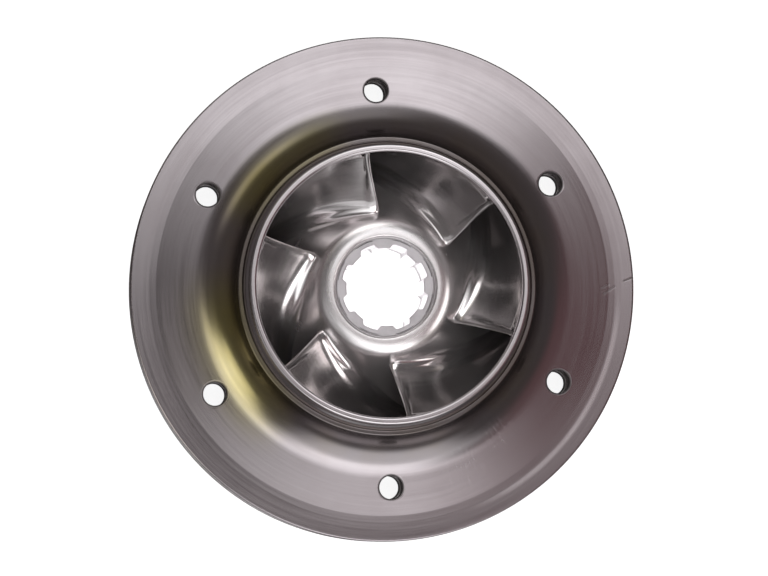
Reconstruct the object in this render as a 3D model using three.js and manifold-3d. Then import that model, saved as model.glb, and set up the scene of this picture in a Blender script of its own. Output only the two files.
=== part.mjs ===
// Closed centrifugal pump impeller, pressed and welded from stainless sheet, with a splined bush.
// Millimetres. The shaft axis is Z, the origin is on it in the plane of the back face,
// the suction eye opens towards +Z, and one tooling hole lies on +X.
import * as THREE from 'three';
import { mergeVertices } from 'three/addons/utils/BufferGeometryUtils.js';
import Module from 'manifold-3d';

const wasm = await Module();
wasm.setup();

// Driving sizes
const OUTER_RADIUS = 50;
const SHEET = 1.2;
const OUTLET_WIDTH = 7.4;
const NECK_HEIGHT = 16;
const WELD_GAP = 0.3;
const ROUND_STEPS = 72;

// Heights above the back face
const BACK_FRONT_Z = SHEET;
const RIM_TOP_Z = SHEET + OUTLET_WIDTH + SHEET;
const LIP_Z = RIM_TOP_Z + NECK_HEIGHT;

// Back shroud: flat disc, concave foot, cone and rounded nose round the bush
const NOSE_HEIGHT = 5.9;
const NOSE_TOP_Z = RIM_TOP_Z + NOSE_HEIGHT;
const NOSE_HOLE_RADIUS = 10;
const NOSE_ROUND_CENTRE_R = 11.3;
const NOSE_ROUND_RADIUS = 2.5;
const CONE_ANGLE = Math.PI / 4;
const FOOT_RADIUS = 16;
const NOSE_STEPS = 3;
const FOOT_STEPS = 6;

// Front shroud: outer land, shallow cone, fillet and upright collar
const LAND_INNER_RADIUS = 44.2;
const LAND_RISE = 0.25;
const CONE_SLOPE = THREE.MathUtils.degToRad(7);
const FILLET_RADIUS = 9;
const FILLET_STEPS = 8;
const COLLAR_OUTER_RADIUS = 29.35;

// Neck ring standing in the collar
const EYE_RADIUS = 25.9;
const NECK_OUTER_RADIUS = EYE_RADIUS + SHEET;
const NECK_FOOT_OUTER_RADIUS = COLLAR_OUTER_RADIUS - SHEET - WELD_GAP;
const NECK_FOOT_DEPTH = 0.9;
const NECK_FLARE_RISE = 2.2;

// Tooling holes through both shrouds
const HOLE_COUNT = 6;
const HOLE_RADIUS = 2.3;
const HOLE_CIRCLE_RADIUS = 39.3;
const HOLE_SIDES = 20;

// Splined bush
const BUSH_OUTER_RADIUS = NOSE_HOLE_RADIUS - WELD_GAP;
const BUSH_RECESS = 0.6;
const BUSH_TOP_Z = NOSE_TOP_Z - BUSH_RECESS;
const SPLINE_TEETH = 8;
const GROOVE_RADIUS = 8.55;
const TOOTH_TIP_RADIUS = 7.65;
const TOOTH_ROOT_HALF_ANGLE = THREE.MathUtils.degToRad(13);
const TOOTH_TIP_HALF_ANGLE = THREE.MathUtils.degToRad(8.5);

// Blades: twisted sheets between the hub line and the shroud line
const BLADE_COUNT = 6;
const BLADE_THICKNESS = 1;
const BLADE_TIP_RADIUS = 49.4;
const BLADE_STEPS_ALONG = 30;
const BLADE_STEPS_ACROSS = 4;
const HUB_LINE_START_R = 15.3;
const LEAD_EDGE_HEIGHT = 12;
const SHROUD_LINE_START_Z = RIM_TOP_Z + LEAD_EDGE_HEIGHT;
const FLARE_JOIN_ANGLE = THREE.MathUtils.degToRad(22);

// Sweep of the blade edges round the axis, in degrees
const HUB_LEAD_ANGLE = 1.5;
const SHROUD_LEAD_ANGLE = 7;
const TIP_SWEEP_PER_MM = 2.5;
const HUB_EXTRA_SWEEP = 37.8;
const HUB_SWEEP_DECAY = 2.33;
const SHROUD_SWEEP_DECAY = 3.5;

const steel = (color, roughness) => new THREE.MeshStandardMaterial({ color, roughness, metalness: 1 });

const FINISH = {
  front: steel(0xb3adb0, 0.32),
  neck: steel(0x9d9a99, 0.3),
  back: steel(0xa7a2a3, 0.35),
  bush: steel(0x96919b, 0.55),
  blade: steel(0x8f8a88, 0.28),
};

// Solids and meshes

function toSolid(geometry) {
  geometry.deleteAttribute('normal');
  geometry.deleteAttribute('uv');
  const merged = mergeVertices(geometry, 1e-4);
  const vertProperties = new Float32Array(merged.attributes.position.array);
  const triVerts = new Uint32Array(merged.index.array);
  return new wasm.Manifold(new wasm.Mesh({ numProp: 3, vertProperties, triVerts }));
}

function toGeometry(solid) {
  const mesh = solid.getMesh();
  const geometry = new THREE.BufferGeometry();
  geometry.setAttribute('position', new THREE.BufferAttribute(mesh.vertProperties, 3));
  geometry.setIndex(new THREE.BufferAttribute(mesh.triVerts, 1));
  geometry.computeVertexNormals();
  return geometry;
}

function toMesh(name, solid, material) {
  const mesh = new THREE.Mesh(toGeometry(solid), material);
  mesh.name = name;
  return mesh;
}

// Turns a closed section of (radius, height) points round the shaft axis
function turned(section) {
  const closed = [...section, section[0].clone()];
  const geometry = new THREE.LatheGeometry(closed, ROUND_STEPS);
  geometry.rotateX(Math.PI / 2);
  return toSolid(geometry);
}

function point(radius, height) {
  return new THREE.Vector2(radius, height);
}

// Points on an arc of the section, from one angle to another, ends included
function arc(centre, radius, from, to, steps) {
  const points = [];
  for (let i = 0; i <= steps; i += 1) {
    const angle = from + ((to - from) * i) / steps;
    points.push(point(centre.x + radius * Math.cos(angle), centre.y + radius * Math.sin(angle)));
  }
  return points;
}

function withHoles(solid, lowZ, highZ) {
  let drilled = solid;
  for (let i = 0; i < HOLE_COUNT; i += 1) {
    const angle = (2 * Math.PI * i) / HOLE_COUNT;
    const drill = new THREE.CylinderGeometry(HOLE_RADIUS, HOLE_RADIUS, highZ - lowZ, HOLE_SIDES);
    drill.rotateX(Math.PI / 2);
    drill.translate(
      HOLE_CIRCLE_RADIUS * Math.cos(angle),
      HOLE_CIRCLE_RADIUS * Math.sin(angle),
      (lowZ + highZ) / 2,
    );
    drilled = drilled.subtract(toSolid(drill));
  }
  return drilled;
}

// Back shroud section. The nose round, the cone and the foot arc are tangent to each other.
const NOSE_CENTRE = point(NOSE_ROUND_CENTRE_R, NOSE_TOP_Z - NOSE_ROUND_RADIUS);
const CONE_TOP = point(
  NOSE_CENTRE.x + NOSE_ROUND_RADIUS * Math.sin(CONE_ANGLE),
  NOSE_CENTRE.y + NOSE_ROUND_RADIUS * Math.cos(CONE_ANGLE),
);
const CONE_FLOOR_R = CONE_TOP.x + (CONE_TOP.y - BACK_FRONT_Z) / Math.tan(CONE_ANGLE);
const FOOT_CENTRE = point(
  CONE_FLOOR_R + FOOT_RADIUS * Math.tan(CONE_ANGLE / 2),
  BACK_FRONT_Z + FOOT_RADIUS,
);
const FOOT_TOP_ANGLE = -Math.PI / 2 - CONE_ANGLE;

function backSection(offset) {
  const noseRadius = NOSE_ROUND_RADIUS + offset;
  const nose = arc(NOSE_CENTRE, noseRadius, Math.PI / 2, Math.PI / 2 - CONE_ANGLE, NOSE_STEPS);
  const foot = arc(FOOT_CENTRE, FOOT_RADIUS - offset, FOOT_TOP_ANGLE, -Math.PI / 2, FOOT_STEPS);
  return [point(NOSE_HOLE_RADIUS, NOSE_TOP_Z + offset), ...nose, ...foot];
}

function buildBackShroud() {
  const front = backSection(0);
  const back = backSection(-SHEET).reverse();
  const rim = [point(OUTER_RADIUS, BACK_FRONT_Z), point(OUTER_RADIUS, 0)];
  const disc = turned([...front, ...rim, ...back].reverse());
  return withHoles(disc, -1, SHEET + 1);
}

// Front shroud section. The collar stands on a fillet that is tangent to the shallow cone.
const FILLET_CENTRE_R = COLLAR_OUTER_RADIUS + FILLET_RADIUS;
const FILLET_FOOT_R = FILLET_CENTRE_R - FILLET_RADIUS * Math.sin(CONE_SLOPE);
const FILLET_FOOT_Z =
  RIM_TOP_Z + LAND_RISE + (LAND_INNER_RADIUS - FILLET_FOOT_R) * Math.tan(CONE_SLOPE);
const COLLAR_TOP_Z = FILLET_FOOT_Z + FILLET_RADIUS * Math.cos(CONE_SLOPE);
const FILLET_CENTRE = point(FILLET_CENTRE_R, COLLAR_TOP_Z);
const FILLET_FOOT_ANGLE = (3 * Math.PI) / 2 - CONE_SLOPE;

function frontSection(offset) {
  const fillet = arc(FILLET_CENTRE, FILLET_RADIUS + offset, Math.PI, FILLET_FOOT_ANGLE, FILLET_STEPS);
  return [
    ...fillet,
    point(LAND_INNER_RADIUS, RIM_TOP_Z + LAND_RISE - offset),
    point(OUTER_RADIUS, RIM_TOP_Z - offset),
  ];
}

function buildFrontShroud() {
  const outside = frontSection(0);
  const inside = frontSection(SHEET).reverse();
  const shell = turned([...outside, ...inside].reverse());
  return withHoles(shell, SHEET + OUTLET_WIDTH / 2, LIP_Z);
}

function buildNeckRing() {
  const footZ = COLLAR_TOP_Z - NECK_FOOT_DEPTH;
  const shoulder = NECK_FOOT_OUTER_RADIUS - NECK_OUTER_RADIUS;
  return turned([
    point(EYE_RADIUS, footZ + NECK_FLARE_RISE),
    point(NECK_OUTER_RADIUS, footZ),
    point(NECK_FOOT_OUTER_RADIUS, footZ),
    point(NECK_FOOT_OUTER_RADIUS, COLLAR_TOP_Z + WELD_GAP),
    point(NECK_OUTER_RADIUS, COLLAR_TOP_Z + WELD_GAP + shoulder),
    point(NECK_OUTER_RADIUS, LIP_Z),
    point(EYE_RADIUS, LIP_Z),
  ]);
}

function buildBush() {
  const outline = new THREE.Shape();
  outline.absarc(0, 0, BUSH_OUTER_RADIUS, 0, 2 * Math.PI, false);
  const bore = new THREE.Path();
  const pitch = (2 * Math.PI) / SPLINE_TEETH;
  for (let i = 0; i < SPLINE_TEETH; i += 1) {
    const tooth = i * pitch;
    const corners = [
      [GROOVE_RADIUS, tooth - pitch / 2],
      [GROOVE_RADIUS, tooth - TOOTH_ROOT_HALF_ANGLE],
      [TOOTH_TIP_RADIUS, tooth - TOOTH_TIP_HALF_ANGLE],
      [TOOTH_TIP_RADIUS, tooth],
      [TOOTH_TIP_RADIUS, tooth + TOOTH_TIP_HALF_ANGLE],
      [GROOVE_RADIUS, tooth + TOOTH_ROOT_HALF_ANGLE],
    ];
    for (const [radius, angle] of corners) {
      const place = [radius * Math.cos(angle), radius * Math.sin(angle)];
      if (bore.currentPoint.lengthSq() === 0) {
        bore.moveTo(...place);
      } else {
        bore.lineTo(...place);
      }
    }
  }
  bore.closePath();
  outline.holes.push(bore);
  const options = { depth: BUSH_TOP_Z, bevelEnabled: false, curveSegments: ROUND_STEPS };
  return toSolid(new THREE.ExtrudeGeometry(outline, options));
}

// Blade edge lines in the (radius, height) plane, each a weld gap clear of its shroud

function hubLine() {
  const line = new THREE.Path();
  const startZ = CONE_TOP.y - (HUB_LINE_START_R - CONE_TOP.x) * Math.tan(CONE_ANGLE);
  const lift = WELD_GAP / Math.cos(CONE_ANGLE);
  const arcRadius = FOOT_RADIUS - WELD_GAP;
  const join = arc(FOOT_CENTRE, arcRadius, FOOT_TOP_ANGLE, FOOT_TOP_ANGLE, 1)[0];
  line.moveTo(HUB_LINE_START_R, startZ + lift);
  line.lineTo(join.x, join.y);
  line.absarc(FOOT_CENTRE.x, FOOT_CENTRE.y, arcRadius, FOOT_TOP_ANGLE, -Math.PI / 2, false);
  line.lineTo(BLADE_TIP_RADIUS, BACK_FRONT_Z + WELD_GAP);
  return line;
}

function shroudLine() {
  const line = new THREE.Path();
  const wallR = EYE_RADIUS - WELD_GAP;
  const flareZ = COLLAR_TOP_Z - NECK_FOOT_DEPTH + NECK_FLARE_RISE;
  const joinAngle = Math.PI + FLARE_JOIN_ANGLE;
  const arcRadius = FILLET_RADIUS + SHEET + WELD_GAP;
  const join = arc(FILLET_CENTRE, arcRadius, joinAngle, joinAngle, 1)[0];
  line.moveTo(wallR, SHROUD_LINE_START_Z);
  line.lineTo(wallR, flareZ - WELD_GAP);
  line.lineTo(join.x, join.y);
  line.absarc(FILLET_CENTRE.x, FILLET_CENTRE.y, arcRadius, joinAngle, FILLET_FOOT_ANGLE, false);
  line.lineTo(LAND_INNER_RADIUS, RIM_TOP_Z + LAND_RISE - SHEET - WELD_GAP);
  line.lineTo(BLADE_TIP_RADIUS, RIM_TOP_Z - SHEET - WELD_GAP);
  return line;
}

// Sweep of each edge line against its radius. Both lines meet the tip at the same angle.

function hubSweep(radius) {
  const run = radius - HUB_LINE_START_R;
  const early = HUB_EXTRA_SWEEP * (1 - Math.exp(-run / HUB_SWEEP_DECAY));
  return HUB_LEAD_ANGLE + early + TIP_SWEEP_PER_MM * run;
}

function shroudSweep(radius) {
  const start = EYE_RADIUS - WELD_GAP;
  const run = radius - start;
  const fullRun = BLADE_TIP_RADIUS - start;
  const extra = hubSweep(BLADE_TIP_RADIUS) - SHROUD_LEAD_ANGLE - TIP_SWEEP_PER_MM * fullRun;
  const early = extra * (1 - Math.exp(-run / SHROUD_SWEEP_DECAY));
  return SHROUD_LEAD_ANGLE + early + TIP_SWEEP_PER_MM * run;
}

function onBlade(edge, sweep, share) {
  const at = edge.getPointAt(share);
  const angle = THREE.MathUtils.degToRad(sweep(at.x));
  return new THREE.Vector3(at.x * Math.cos(angle), at.x * Math.sin(angle), at.y);
}

// Middle surface of a blade: straight lines from the hub line to the shroud line
function middleSurface(hub, shroud, along, across) {
  return onBlade(hub, hubSweep, along).lerp(onBlade(shroud, shroudSweep, along), across);
}

// Direction that stays on a shroud of revolution while it leaves the blade's middle surface
function skinDirection(normal, place, edge, share) {
  const slope = edge.getTangentAt(share);
  const outward = new THREE.Vector3(place.x, place.y, 0).normalize();
  const shroudNormal = outward.multiplyScalar(-slope.y).add(new THREE.Vector3(0, 0, slope.x));
  return normal.clone().addScaledVector(shroudNormal, -normal.dot(shroudNormal)).normalize();
}

function bladeGeometry() {
  const hub = hubLine();
  const shroud = shroudLine();
  const step = 1e-3;
  const columns = BLADE_STEPS_ACROSS + 1;
  const sides = [[], []];
  for (let i = 0; i <= BLADE_STEPS_ALONG; i += 1) {
    const along = Math.min(Math.max(i / BLADE_STEPS_ALONG, step), 1 - step);
    for (let j = 0; j < columns; j += 1) {
      const across = j / BLADE_STEPS_ACROSS;
      const middle = middleSurface(hub, shroud, along, across);
      const ahead = middleSurface(hub, shroud, along + step, across);
      const behind = middleSurface(hub, shroud, along - step, across);
      const span = middleSurface(hub, shroud, along, 1).sub(middleSurface(hub, shroud, along, 0));
      const normal = ahead.sub(behind).cross(span).normalize();
      const atHub = skinDirection(normal, middle, hub, along);
      const atShroud = skinDirection(normal, middle, shroud, along);
      const shift = atHub.lerp(atShroud, across);
      shift.multiplyScalar(BLADE_THICKNESS / 2 / shift.dot(normal));
      sides[0].push(middle.clone().add(shift));
      sides[1].push(middle.clone().sub(shift));
    }
  }
  const points = [...sides[0], ...sides[1]];
  const sideSize = sides[0].length;
  const faces = [];
  const quad = (a, b, c, d) => faces.push(a, b, c, a, c, d);
  for (let i = 0; i < BLADE_STEPS_ALONG; i += 1) {
    for (let j = 0; j < BLADE_STEPS_ACROSS; j += 1) {
      const a = i * columns + j;
      quad(a, a + columns, a + columns + 1, a + 1);
      quad(sideSize + a, sideSize + a + 1, sideSize + a + columns + 1, sideSize + a + columns);
    }
    const low = i * columns;
    const high = low + BLADE_STEPS_ACROSS;
    quad(low, sideSize + low, sideSize + low + columns, low + columns);
    quad(high, high + columns, sideSize + high + columns, sideSize + high);
  }
  for (let j = 0; j < BLADE_STEPS_ACROSS; j += 1) {
    const last = BLADE_STEPS_ALONG * columns + j;
    quad(j, j + 1, sideSize + j + 1, sideSize + j);
    quad(last, sideSize + last, sideSize + last + 1, last + 1);
  }
  const geometry = new THREE.BufferGeometry().setFromPoints(points);
  geometry.setIndex(faces);
  geometry.computeVertexNormals();
  return geometry;
}

// The assembly

const impeller = new THREE.Group();
impeller.name = 'pump_impeller';
impeller.add(toMesh('back_shroud', buildBackShroud(), FINISH.back));
impeller.add(toMesh('front_shroud', buildFrontShroud(), FINISH.front));
impeller.add(toMesh('neck_ring', buildNeckRing(), FINISH.neck));
impeller.add(toMesh('splined_bush', buildBush(), FINISH.bush));

const blade = bladeGeometry();
for (let i = 0; i < BLADE_COUNT; i += 1) {
  const mesh = new THREE.Mesh(blade, FINISH.blade);
  mesh.name = `blade_${i + 1}`;
  mesh.rotation.z = (2 * Math.PI * i) / BLADE_COUNT;
  impeller.add(mesh);
}

export default impeller;
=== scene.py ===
"""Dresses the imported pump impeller: a closed impeller, pressed and welded from stainless sheet.

Everything is in metres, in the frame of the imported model. The shaft axis is Z, the back face lies
in z = 0, the suction eye opens upwards, and a tooling hole and a spline tooth lie on +X. The
photograph looks down into the eye, a little off the axis.
"""

import logging
import math
from bisect import bisect_right
from collections.abc import Callable, Iterable, Sequence
from dataclasses import dataclass, field
from enum import Enum

import bmesh
import bpy
from mathutils import Matrix, Vector


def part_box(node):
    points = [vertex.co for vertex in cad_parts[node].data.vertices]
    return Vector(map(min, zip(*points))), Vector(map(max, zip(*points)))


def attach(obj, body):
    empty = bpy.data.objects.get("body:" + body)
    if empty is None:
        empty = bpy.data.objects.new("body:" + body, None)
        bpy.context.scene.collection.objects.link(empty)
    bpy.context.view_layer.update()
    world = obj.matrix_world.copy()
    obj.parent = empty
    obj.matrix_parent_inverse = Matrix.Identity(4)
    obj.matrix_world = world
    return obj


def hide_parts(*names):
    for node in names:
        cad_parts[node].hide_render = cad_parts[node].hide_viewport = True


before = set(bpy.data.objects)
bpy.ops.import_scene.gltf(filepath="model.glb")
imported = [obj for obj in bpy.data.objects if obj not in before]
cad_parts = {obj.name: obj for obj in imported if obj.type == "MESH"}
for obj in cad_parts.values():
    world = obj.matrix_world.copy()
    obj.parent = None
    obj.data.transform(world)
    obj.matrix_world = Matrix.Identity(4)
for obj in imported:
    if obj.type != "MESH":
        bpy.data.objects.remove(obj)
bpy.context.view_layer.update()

LOG = logging.getLogger("impeller")
MM = 0.001
BODY = "root"

SLOPE_STEP = 2e-3
SHROUD_STEP = 0.7 * MM
NECK_SEAM_DEPTH = 0.05 * MM

Colour = tuple[float, float, float]

BRIGHT_STEEL = (0.72, 0.69, 0.69)
STRAW = (0.55, 0.49, 0.18)
PLAIN_LIGHT = (1.0, 0.97, 0.96)
WARM_LIGHT = (1.0, 0.96, 0.86)


class Slot(Enum):
    """Material slots of the record."""

    FRONT = "front_shroud_steel"
    BACK = "back_shroud_steel"
    NECK = "neck_ring_steel"
    BUSH = "bush_steel"
    BLADE = "blade_steel"


@dataclass(frozen=True)
class ImpellerSizes:
    """Sizes that several pieces share: the boxes of the frame's nodes, and the sheet."""

    outer_radius: float
    rim_under: float
    collar_top: float
    neck_foot: float
    neck_foot_radius: float
    lip: float
    nose_top: float
    bush_radius: float
    bush_top: float
    sheet: float = 1.2 * MM
    weld_gap: float = 0.3 * MM
    foot_flange: float = 0.75 * MM
    flare_rise: float = 2.2 * MM
    blades: int = 6
    holes: int = 6

    @classmethod
    def from_frame(cls) -> "ImpellerSizes":
        """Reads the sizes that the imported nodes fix.

        Returns:
            The sizes.
        """
        front_low, front_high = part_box("front_shroud")
        neck_low, neck_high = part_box("neck_ring")
        bush_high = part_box("splined_bush")[1]
        return cls(
            outer_radius=front_high.x,
            rim_under=front_low.z,
            collar_top=front_high.z,
            neck_foot=neck_low.z,
            neck_foot_radius=neck_high.x,
            lip=neck_high.z,
            nose_top=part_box("back_shroud")[1].z,
            bush_radius=bush_high.x,
            bush_top=bush_high.z,
        )

    @property
    def rim_top(self) -> float:
        """Height of the front shroud's outer face at the rim."""
        return self.rim_under + self.sheet

    @property
    def eye_radius(self) -> float:
        """Radius of the suction eye inside the neck."""
        return self.neck_outer_radius - self.sheet

    @property
    def neck_outer_radius(self) -> float:
        """Outside radius of the neck above its foot."""
        return self.neck_foot_radius - self.foot_flange


# Section lines in the half plane through the shaft axis: x is the radius, y the height.


@dataclass(frozen=True)
class Corner:
    """A corner of a section, with the radius that rounds it off."""

    radius: float
    height: float
    round: float = 0.0

    @property
    def place(self) -> Vector:
        """The corner as a point."""
        return Vector((self.radius, self.height))


def polar(centre: Vector, radius: float, angle: float) -> Vector:
    """Point of the section at an angle round a centre."""
    return centre + radius * Vector((math.cos(angle), math.sin(angle)))


def soft_step(share: float) -> float:
    """Smooth rise from 0 to 1 while a share goes from 0 to 1."""
    return share * share * (3 - 2 * share)


def arc(centre: Vector, radius: float, start: float, end: float, steps: int) -> list[Corner]:
    """Corners along an arc, ends included, close enough to need no rounding.

    Args:
        centre: Centre of the arc in the section.
        radius: Radius of the arc.
        start: Angle of the first corner, in radians.
        end: Angle of the last corner.
        steps: Number of equal steps.

    Returns:
        The corners in order.
    """
    points = (polar(centre, radius, start + (end - start) * i / steps) for i in range(steps + 1))
    return [Corner(p.x, p.y) for p in points]


def rounded(corners: Sequence[Corner], steps: int = 4) -> list[Vector]:
    """Rounds off the corners of a closed section.

    Args:
        corners: The corners in order round the section.
        steps: Steps of each rounding.

    Returns:
        Points of the closed line, with a point close to both ends of each rounding, so that
        smooth shading stays inside it.
    """
    points: list[Vector] = []
    for i, corner in enumerate(corners):
        here = corner.place
        if not corner.round:
            points.append(here)
            continue
        back = corners[i - 1].place - here
        ahead = corners[(i + 1) % len(corners)].place - here
        turn = math.pi - back.angle(ahead)
        reach = corner.round * math.tan(turn / 2)
        bisector = (back.normalized() + ahead.normalized()).normalized()
        centre = here + bisector * (corner.round / math.cos(turn / 2))
        first = here + back.normalized() * reach
        last = here + ahead.normalized() * reach
        points.append(first + back.normalized() * reach * 0.35)
        for k in range(steps + 1):
            spoke = (first - centre).slerp(last - centre, k / steps)
            points.append(centre + spoke * corner.round)
        points.append(last + ahead.normalized() * reach * 0.35)
    return points


def divided(points: Sequence[Vector], longest: float) -> list[Vector]:
    """Splits the long segments of a closed line evenly.

    Args:
        points: Points of the line.
        longest: Longest segment that is left whole.

    Returns:
        The points with those added between them.
    """
    result: list[Vector] = []
    for i, here in enumerate(points):
        there = points[(i + 1) % len(points)]
        pieces = max(1, math.ceil((there - here).length / longest))
        result.extend(here.lerp(there, k / pieces) for k in range(pieces))
    return result


class MeridianPath:
    """An open line in the section that gives a point for each share of its length."""

    def __init__(self, corners: Iterable[Corner]) -> None:
        """Takes the corners of the line in order.

        Args:
            corners: Corners of the line, of which only the places count.
        """
        self.points = [corner.place for corner in corners]
        self.marks = [0.0]
        for before, after in zip(self.points, self.points[1:]):
            self.marks.append(self.marks[-1] + (after - before).length)

    def at(self, share: float) -> Vector:
        """Point at a share of the length, from 0 to 1.

        Args:
            share: Share of the length, cut off at 0 and 1.

        Returns:
            The point.
        """
        along = min(max(share, 0.0), 1.0) * self.marks[-1]
        i = min(max(bisect_right(self.marks, along) - 1, 0), len(self.points) - 2)
        step = self.marks[i + 1] - self.marks[i]
        return self.points[i].lerp(self.points[i + 1], (along - self.marks[i]) / step)

    def slope(self, share: float) -> Vector:
        """Direction of the line at a share of its length."""
        return (self.at(share + SLOPE_STEP) - self.at(share - SLOPE_STEP)).normalized()


# Meshes


class SheetMesh:
    """Collects points and faces of a closed sheet, and turns them into a mesh."""

    def __init__(self, name: str) -> None:
        """Starts an empty mesh with a name.

        Args:
            name: Name of the mesh, and of the piece that it becomes.
        """
        self.name = name
        self.points: list[Vector] = []
        self.faces: list[tuple[int, ...]] = []

    def row(self, points: Iterable[Vector]) -> list[int]:
        """Adds points and gives their numbers.

        Args:
            points: The points of a row.

        Returns:
            Their numbers, in order.
        """
        start = len(self.points)
        self.points.extend(points)
        return list(range(start, len(self.points)))

    def strip(self, first: Sequence[int], second: Sequence[int], closed: bool = False) -> None:
        """Joins two rows of equal length with quads.

        Args:
            first: Point numbers of one row.
            second: Point numbers of the next row.
            closed: Whether the rows run round and close.
        """
        count = len(first)
        for k in range(count if closed else count - 1):
            n = (k + 1) % count
            self.faces.append((first[k], first[n], second[n], second[k]))

    def mesh(self) -> bpy.types.Mesh:
        """Makes the Blender mesh.

        Returns:
            The mesh, with its faces still flat.
        """
        mesh = bpy.data.meshes.new(self.name)
        mesh.from_pydata([p[:] for p in self.points], [], self.faces)
        mesh.update()
        return mesh


def on_round(place: Vector, angle: float) -> Vector:
    """Turns a point of the section round the shaft axis by an angle."""
    return Vector((place.x * math.cos(angle), place.x * math.sin(angle), place.y))


def face_outwards(mesh: bpy.types.Mesh) -> None:
    """Makes the faces of a closed mesh point outwards and shades them smooth.

    Args:
        mesh: The mesh, changed in place.
    """
    shell = bmesh.new()
    shell.from_mesh(mesh)
    bmesh.ops.recalc_face_normals(shell, faces=shell.faces)
    for face in shell.faces:
        face.smooth = True
    shell.to_mesh(mesh)
    shell.free()


# Node trees


class Graph:
    """Adds nodes to a tree, with their settings first and then values or links."""

    def __init__(self, tree: bpy.types.NodeTree) -> None:
        """Works on a shader or geometry tree."""
        self.tree = tree

    def add(self, kind: str, settings: dict | None = None, **inputs: object) -> bpy.types.Node:
        """Adds a node.

        Args:
            kind: Type name of the node.
            settings: Properties of the node, set before its sockets.
            **inputs: Values or links, by socket name with an underscore for each space.

        Returns:
            The node.
        """
        node = self.tree.nodes.new(kind)
        for key, value in (settings or {}).items():
            setattr(node, key, value)
        for key, value in inputs.items():
            self.feed(self.socket(node, key.replace("_", " ")), value)
        return node

    def socket(self, node: bpy.types.Node, name: str) -> bpy.types.NodeSocket:
        """The input of a node that is in use under a name."""
        return next(s for s in node.inputs if s.enabled and s.name == name)

    def feed(self, socket: bpy.types.NodeSocket, value: object) -> None:
        """Links a socket to a term or an output, or sets its value.

        Args:
            socket: Input to feed.
            value: Term, output or value. None leaves the input as it is.
        """
        if isinstance(value, Term):
            value = value.socket
        if isinstance(value, bpy.types.NodeSocket):
            self.tree.links.new(value, socket)
        elif value is not None:
            socket.default_value = value

    def term(self, kind: str, output: str, settings: dict | None = None, **inputs: object) -> "Term":
        """Adds a node and gives one of its outputs as a term."""
        node = self.add(kind, settings, **inputs)
        return Term(self, node.outputs[output])

    def operate(self, kind: str, operation: str, operands: Sequence[object]) -> bpy.types.Node:
        """Adds a Math or Vector Math node.

        Args:
            kind: Type name of the node.
            operation: What it works out.
            operands: Values or links of its inputs, in order.

        Returns:
            The node.
        """
        node = self.add(kind, {"operation": operation})
        for socket, value in zip(node.inputs, operands):
            self.feed(socket, value)
        return node

    def math(self, operation: str, *operands: object) -> "Term":
        """Adds a Math node and gives its value."""
        return Term(self, self.operate("ShaderNodeMath", operation, operands).outputs["Value"])

    def normalized(self, vector: object) -> bpy.types.NodeSocket:
        """Adds a Vector Math node that gives a vector the length 1."""
        return self.operate("ShaderNodeVectorMath", "NORMALIZE", (vector,)).outputs["Vector"]

    def dot(self, first: object, second: object) -> "Term":
        """Adds a dot product."""
        node = self.operate("ShaderNodeVectorMath", "DOT_PRODUCT", (first, second))
        return Term(self, node.outputs["Value"])

    def combine(self, x: object, y: object, z: object) -> bpy.types.NodeSocket:
        """Adds a Combine XYZ node."""
        return self.add("ShaderNodeCombineXYZ", X=x, Y=y, Z=z).outputs["Vector"]

    def split(self, vector: bpy.types.NodeSocket) -> tuple["Term", "Term", "Term"]:
        """Adds a Separate XYZ node and gives its three parts."""
        node = self.add("ShaderNodeSeparateXYZ", Vector=vector)
        return Term(self, node.outputs[0]), Term(self, node.outputs[1]), Term(self, node.outputs[2])

    def noise(self, vector: object, scale: float, detail: float = 2.0, rough: float = 0.5) -> "Term":
        """Adds a Noise Texture and gives its value, about 0 to 1.

        Args:
            vector: Place to look up.
            scale: Scale of the noise.
            detail: Number of finer layers.
            rough: Share that each finer layer adds.

        Returns:
            The value.
        """
        return self.term(
            "ShaderNodeTexNoise", "Fac", Vector=vector, Scale=scale, Detail=detail, Roughness=rough
        )

    def mix(
        self, factor: object, first: object, second: object, blend: str = "MIX"
    ) -> bpy.types.NodeSocket:
        """Mixes two colours, by a blend type.

        Args:
            factor: Share of the second colour.
            first: First colour.
            second: Second colour.
            blend: How the second is laid over the first.

        Returns:
            The mixed colour.
        """
        settings = {"data_type": "RGBA", "clamp_factor": True, "blend_type": blend}
        node = self.add("ShaderNodeMix", settings, Factor=factor, A=first, B=second)
        return next(s for s in node.outputs if s.enabled)


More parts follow.
